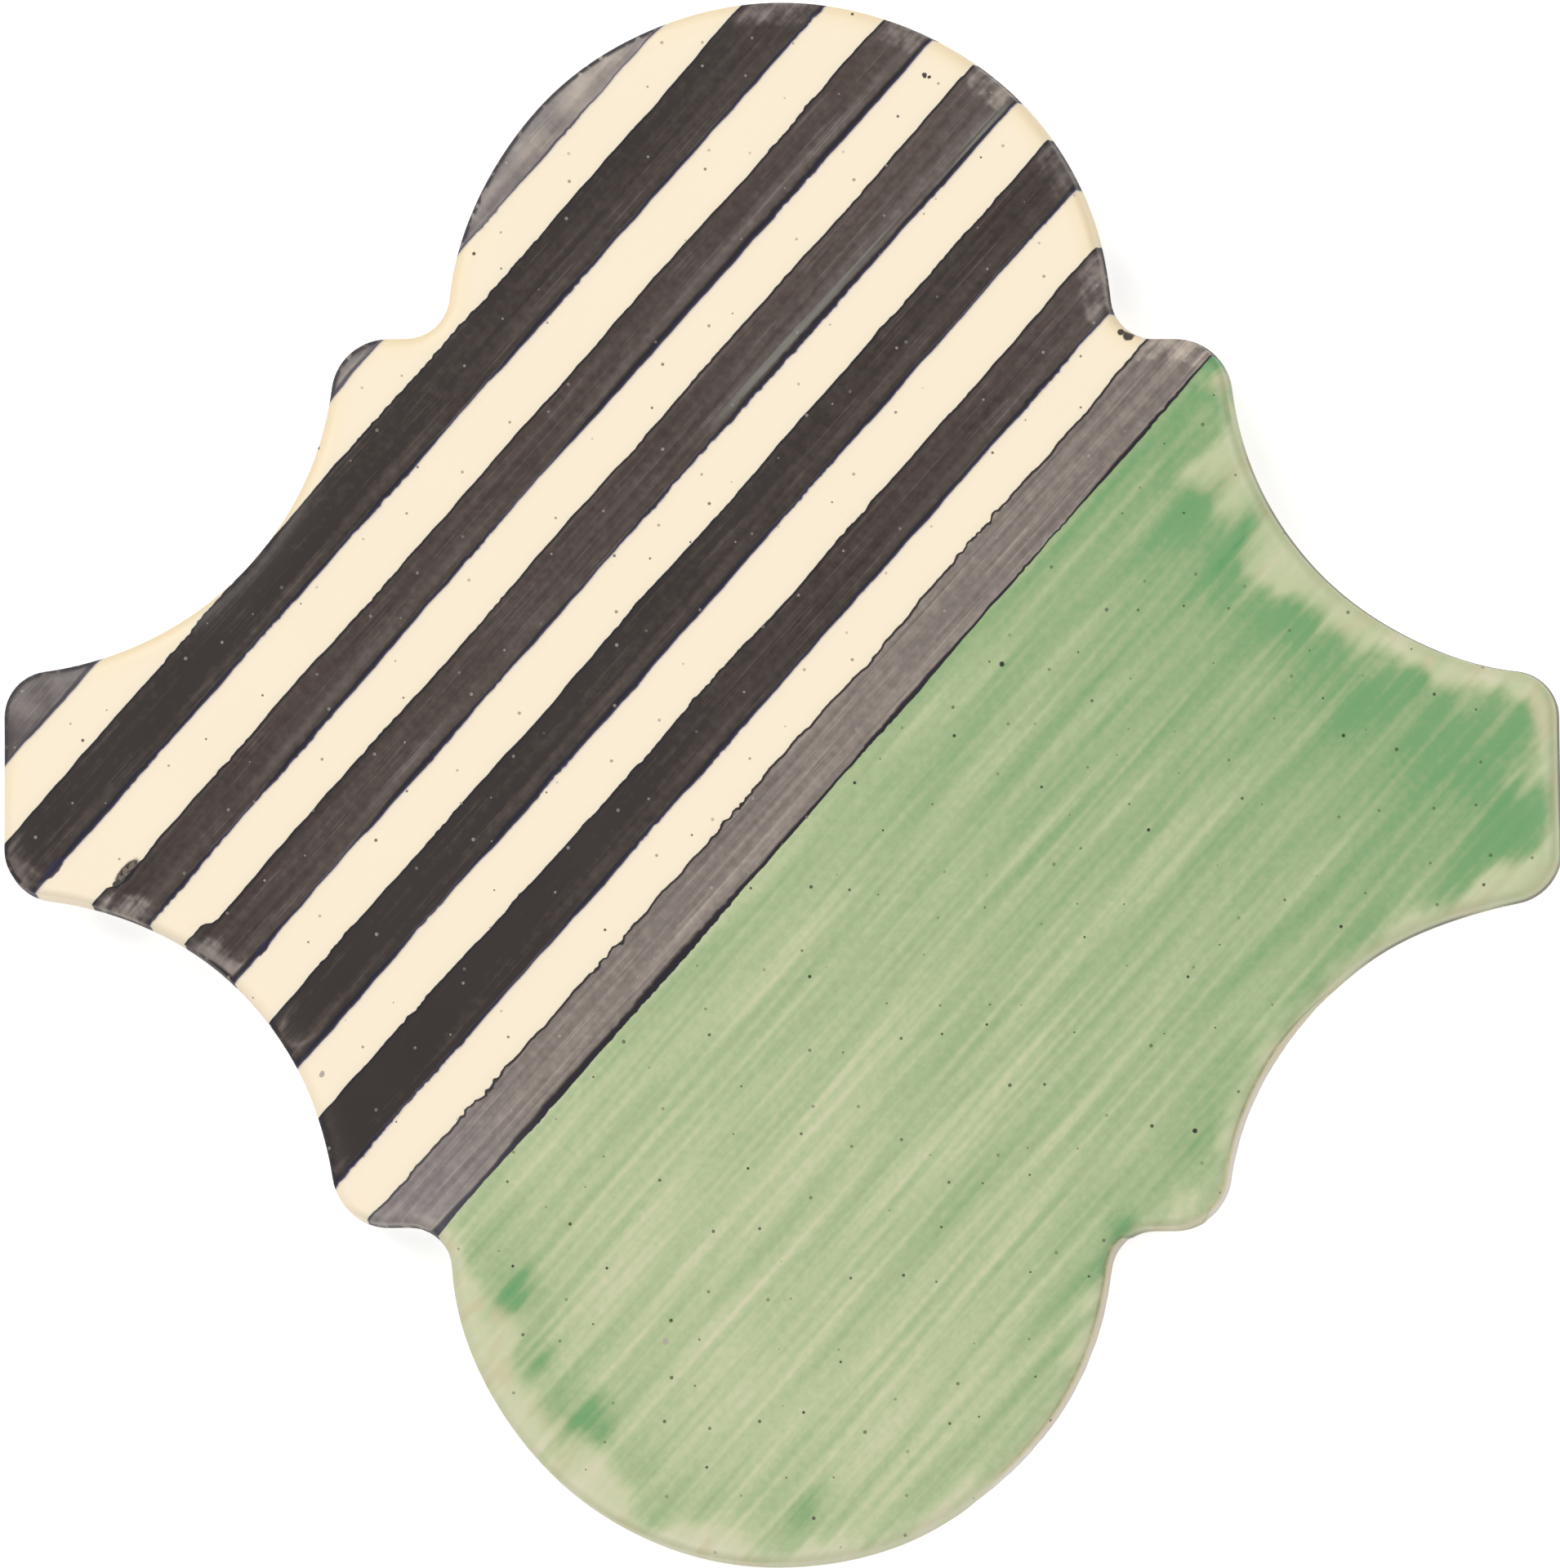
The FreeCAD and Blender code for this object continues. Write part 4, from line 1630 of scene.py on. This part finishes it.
        brushed = graph.use(self.effects.wash, Along=along, Across=across, Broad=0.62, Fine=0.6,
                            Clouds=0.12)
        streaks = brushed["Streaks"]
        broken = graph.math("MAXIMUM", graph.add(0.9, graph.times(streaks, 1.8)), 0.5)
        end = graph.add(rim, graph.times(brushed["Cloud"], 6.0))
        end = graph.less(end, graph.attribute("wash_end"))
        short = graph.fall(end, -1.6, 1.6)
        thin = graph.less(1.0, graph.times(short, 0.7))
        gathered = graph.times(graph.bell(end, 3.4, 2.6), 0.11)
        thickness = graph.add(graph.attribute("wash_load"), streaks, gathered,
                              graph.times(grain["Fine"], 0.25))
        thickness = graph.add(graph.times(thickness, thin),
                              graph.times(graph.attribute("wash_patch"), broken))
        excess = graph.math("MAXIMUM", graph.less(thickness, 1.0), 0.0)
        thickness = graph.less(thickness, graph.times(excess, 0.65))
        wash = graph.fall(across, self.wash_edge - 0.1, self.wash_edge + 0.1)

        ground = graph.mix(graph.times(graph.fall(rim, 0.0, 3.0), graph.attribute("rim_tint")),
                           self.cream, self.cream_rim)
        ground = graph.mix(graph.times(stroke["Halo"], 0.6), ground, self.halo)
        green = graph.ramp(graph.times(thickness, 0.8), self.greens)
        beige = graph.times(short, graph.rise(brushed["Cloud"], -0.02, 0.16), 0.6,
                            graph.fall(graph.attribute("wash_patch"), 0.4, 1.2))
        green = graph.mix(beige, green, self.beige)
        # Dark line at the foot: along the glaze's short edge on the roll, and painted shade at the bottom
        # of the lip by the floor.
        line = graph.times(graph.fall(foot, 0.2, 0.6), graph.rise(foot, -0.6, -0.35),
                           graph.attribute("wash_rim"), graph.rise(grain["Slow"], -0.2, 0.0), 0.8)
        green = graph.mix(line, green, self.rim_line)
        ground = graph.mix(wash, ground, green)
        bare = graph.fall(graph.add(coated, grain["Fine"]), -0.5, 0.5)
        ground = graph.mix(graph.times(bare, 0.6), ground, self.lip)
        cover = graph.times(stroke["Cover"], graph.rise(coated, -0.9, -0.1))
        ink = graph.ramp(graph.less(stroke["Pigment"], graph.times(mark, 0.14)), self.pigments)
        ink = graph.mix(graph.attribute("stroke_blue"), ink, self.blue)
        ink = graph.mix(graph.times(dry, 0.6), ink, self.dry)
        colour = graph.mix(cover, ground, ink)
        fringe = graph.times(stroke["Fringe"], graph.less(1.0, wash), 0.4)
        colour = graph.mix(fringe, colour, self.fringe)
        colour = self.spot(graph, place, turned, colour, cover)
        graph.feed(shader.inputs["Base Color"], colour)

        rough = graph.add(0.34, graph.times(cover, 0.04), graph.times(grain["Slow"], 0.12),
                          graph.times(graph.fall(rim, 0.0, 4.0), 0.15))
        graph.feed(shader.inputs["Roughness"], rough)
        shine = graph.less(0.5, graph.times(graph.fall(rim, 0.0, 1.2), 0.42))
        graph.feed(shader.inputs["Specular IOR Level"], shine)
        height = graph.add(graph.times(stroke["Relief"], 0.03), graph.times(grain["Fine"], 0.012))
        bump = graph.node("ShaderNodeBump")
        graph.feed(bump.inputs["Height"], height)
        bump.inputs["Distance"].default_value = MM
        bump.inputs["Strength"].default_value = 0.8
        graph.feed(shader.inputs["Normal"], bump.outputs["Normal"])
        return material

    def spot(self, graph: Graph, place: bpy.types.NodeSocket,
             turned: dict[str, bpy.types.NodeSocket], colour: bpy.types.NodeSocket,
             cover: bpy.types.NodeSocket) -> bpy.types.NodeSocket:
        """Put the specks, the flecks on the strokes and the named spots over the painting.

        Args:
            graph: the material's node tree.
            place: place on the object, in millimetres.
            turned: distances along and across the strokes, by name.
            colour: the painting so far.
            cover: where the strokes are.

        Returns:
            The colour with its spots.
        """
        stray = graph.times(graph.waver(place, 1.9, 1.0), 2.2)
        washed = graph.math("LESS_THAN", turned["Across"], self.wash_edge)
        specks = graph.use(self.effects.face_specks, Place=place, Cell=4.7, Radius=0.17,
                           Share=graph.add(0.7, graph.times(washed, 0.12)))["Mask"]
        colour = graph.mix(graph.times(specks, cover, 0.5), colour, self.fleck)
        specks = graph.times(specks, graph.less(1.0, graph.times(cover, 0.8)))
        for tone, mask in ((Tone.SMUDGE, 0.0), (Tone.CRUST, 0.0), (Tone.LACE, 0.0),
                           (Tone.INK, 0.0), (Tone.IRON, specks)):
            for spot in self.spots:
                if spot.tone is tone:
                    along, across = self.turn(*PHOTO.place(spot.x, spot.y))
                    mask = graph.use(self.effects.blot, Along=turned["Along"],
                                     Across=turned["Across"], Centre_Along=along,
                                     Centre_Across=across, Stretch=spot.stretch,
                                     Radius=spot.radius, Ragged=spot.ragged, Stray=stray,
                                     Before=mask)["Mask"]
            colour = graph.mix(graph.times(mask, 0.95), colour, tone.value)
        return colour


@dataclass(frozen=True)
class BareClay:
    """The unglazed clay of the sides and the back."""

    effects: Effects
    clay: Colour = (240, 233, 224)
    warm: Colour = (230, 218, 202)
    darker_clay: Colour = (212, 201, 187)
    speck: Colour = (128, 102, 82)
    stain: Colour = (222, 203, 168)

    def make(self) -> bpy.types.Material:
        """Make the material."""
        material, graph, shader = start_material("bare_clay")
        place = graph.millimetres()
        _, _, height = graph.split(place)
        grain = graph.use(self.effects.grain, Place=place, Fine_Scale=2.6, Slow_Scale=0.05)
        colour = graph.mix(graph.rise(grain["Slow"], -0.1, 0.2), self.clay, self.warm)
        depth = graph.attribute(RIM_ATTRIBUTE)
        # The grooves of the back are drawn in a darker clay colour.
        recess = graph.times(graph.rise(height, 0.2, 0.85), graph.rise(depth, 20.0, 39.0))
        colour = graph.mix(graph.times(recess, 0.45), colour, self.darker_clay)
        near_glaze = graph.rise(graph.add(height, graph.times(grain["Slow"], 3.0)), 6.0, 7.4)
        colour = graph.mix(graph.times(near_glaze, 0.6), colour, self.stain)
        colour = graph.mix(graph.times(graph.rise(grain["Fine"], 0.0, 0.25), 0.25), colour,
                           self.darker_clay)
        specks = graph.use(self.effects.specks, Place=place, Cell=2.6, Radius=0.22,
                           Share=0.7)["Mask"]
        colour = graph.mix(graph.times(specks, 0.8), colour, self.speck)
        graph.feed(shader.inputs["Base Color"], colour)
        graph.feed(shader.inputs["Roughness"], graph.add(0.86, graph.times(grain["Fine"], 0.2)))
        pores = graph.use(self.effects.specks, Place=place, Cell=1.5, Radius=0.2,
                          Share=0.45)["Mask"]
        relief = graph.less(graph.times(grain["Fine"], 0.09), graph.times(pores, 0.08))
        bump = graph.node("ShaderNodeBump")
        graph.feed(bump.inputs["Height"], relief)
        bump.inputs["Distance"].default_value = MM
        graph.feed(shader.inputs["Normal"], bump.outputs["Normal"])
        return material


@dataclass(frozen=True)
class Lamp:
    """One soft box: where it stands round the tile and how strong it is."""

    azimuth: float
    elevation: float
    power: float
    size: float = 1.1
    distance: float = 1.6


@dataclass(frozen=True)
class Studio:
    """A plain pale floor, soft lamps and a camera that looks almost straight down."""

    lamps: tuple[Lamp, ...] = (
        Lamp(135.0, 42.0, 14.5),
        Lamp(15.0, 41.0, 11.5),
        Lamp(-110.0, 42.0, 11.5),
    )
    sky: float = 0.16
    floor_half: float = 1.5
    floor_grey: float = 0.88
    floor_glow: float = 0.5
    lens: float = 600.0
    sensor: float = 36.0
    distance: float = 2.5433
    tilt: float = 4.0
    tilt_azimuth: float = -35.0
    aim: tuple[float, float, float] = (0.0002, -0.0002, 0.0095)

    def build(self) -> None:
        """Set the studio up."""
        self.lay_floor()
        for number, lamp in enumerate(self.lamps):
            light = bpy.data.lights.new(f"soft_box_{number}", "AREA")
            light.energy = lamp.power
            light.size = lamp.size
            box = bpy.data.objects.new(light.name, light)
            away = self.ray(lamp.azimuth, lamp.elevation)
            box.location = away * lamp.distance
            box.rotation_euler = away.to_track_quat("Z", "Y").to_euler()
            bpy.context.scene.collection.objects.link(box)
        self.light_sky()
        self.place_camera()
        bpy.context.scene.view_settings.view_transform = "Standard"

    @staticmethod
    def ray(azimuth: float, elevation: float) -> Vector:
        """Direction from the tile, in degrees round from +X and up from the floor."""
        turn, up = math.radians(azimuth), math.radians(elevation)
        return Vector((math.cos(turn) * math.cos(up), math.sin(turn) * math.cos(up), math.sin(up)))

    def lay_floor(self) -> None:
        """Make the floor: pale, lit as anything else, with a glow that only brightens its look."""
        half = self.floor_half
        corners = ((-half, -half), (half, -half), (half, half), (-half, half))
        mesh = bpy.data.meshes.new("floor")
        mesh.from_pydata([(x, y, 0.0) for x, y in corners], [], [(0, 1, 2, 3)])
        floor = bpy.data.objects.new("floor", mesh)
        bpy.context.scene.collection.objects.link(floor)
        material, graph, shader = start_material("pale_floor")
        shader.inputs["Base Color"].default_value = (*[self.floor_grey] * 3, 1.0)
        shader.inputs["Roughness"].default_value = 0.9
        shader.inputs["Specular IOR Level"].default_value = 0.1
        shader.inputs["Emission Color"].default_value = (1.0, 1.0, 1.0, 1.0)
        path = graph.node("ShaderNodeLightPath")
        seen = graph.math("MAXIMUM", path.outputs["Is Camera Ray"], path.outputs["Is Glossy Ray"])
        seen = graph.math("MAXIMUM", seen, path.outputs["Is Transmission Ray"])
        graph.feed(shader.inputs["Emission Strength"], graph.times(seen, self.floor_glow))
        mesh.materials.append(material)

    def light_sky(self) -> None:
        """Give the world a faint even light, seen as white by the camera."""
        world = bpy.data.worlds.new("sky")
        world.use_nodes = True
        graph = Graph(world.node_tree)
        background = world.node_tree.nodes["Background"]
        background.inputs["Color"].default_value = (1.0, 1.0, 1.0, 1.0)
        seen = graph.node("ShaderNodeLightPath").outputs["Is Camera Ray"]
        graph.feed(background.inputs["Strength"], graph.toward(self.sky, 1.0, seen))
        bpy.context.scene.world = world

    def place_camera(self) -> None:
        """Put the camera above the tile, leaning a little to the lower right."""
        camera = bpy.data.cameras.new("camera")
        camera.lens = self.lens
        camera.sensor_fit = "VERTICAL"
        camera.sensor_height = self.sensor
        holder = bpy.data.objects.new("camera", camera)
        away = self.ray(self.tilt_azimuth, 90.0 - self.tilt)
        right = Vector((0.0, 1.0, 0.0)).cross(away).normalized()
        pose = Matrix((right, away.cross(right), away)).transposed().to_4x4()
        pose.translation = Vector(self.aim) + away * self.distance
        holder.matrix_world = pose
        bpy.context.scene.collection.objects.link(holder)
        bpy.context.scene.camera = holder


def main() -> None:
    """Build the tile's two pieces, dress them, and set up the studio."""
    logging.basicConfig(level=logging.INFO, format="%(name)s: %(message)s")
    low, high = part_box(NODE)
    lantern = Lantern((high[0] - low[0]) / MM, (high[1] - low[1]) / MM)
    rim, section, effects = Rim(lantern), Section(), Effects()
    pieces = (
        (GlazeCoat(rim, section), PaintedGlaze(effects)),
        (ClayBody(rim, section, Grooves()), BareClay(effects)),
    )
    for shape, finish in pieces:
        piece = shape.build()
        if isinstance(finish, PaintedGlaze):
            finish.paint(piece.data)
        piece.data.materials.append(finish.make())
        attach(piece, "root")
        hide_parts(NODE)
        LOG.info("%s: %d faces", piece.name, len(piece.data.polygons))
    Studio().build()


if __name__ == "__main__":
    main()
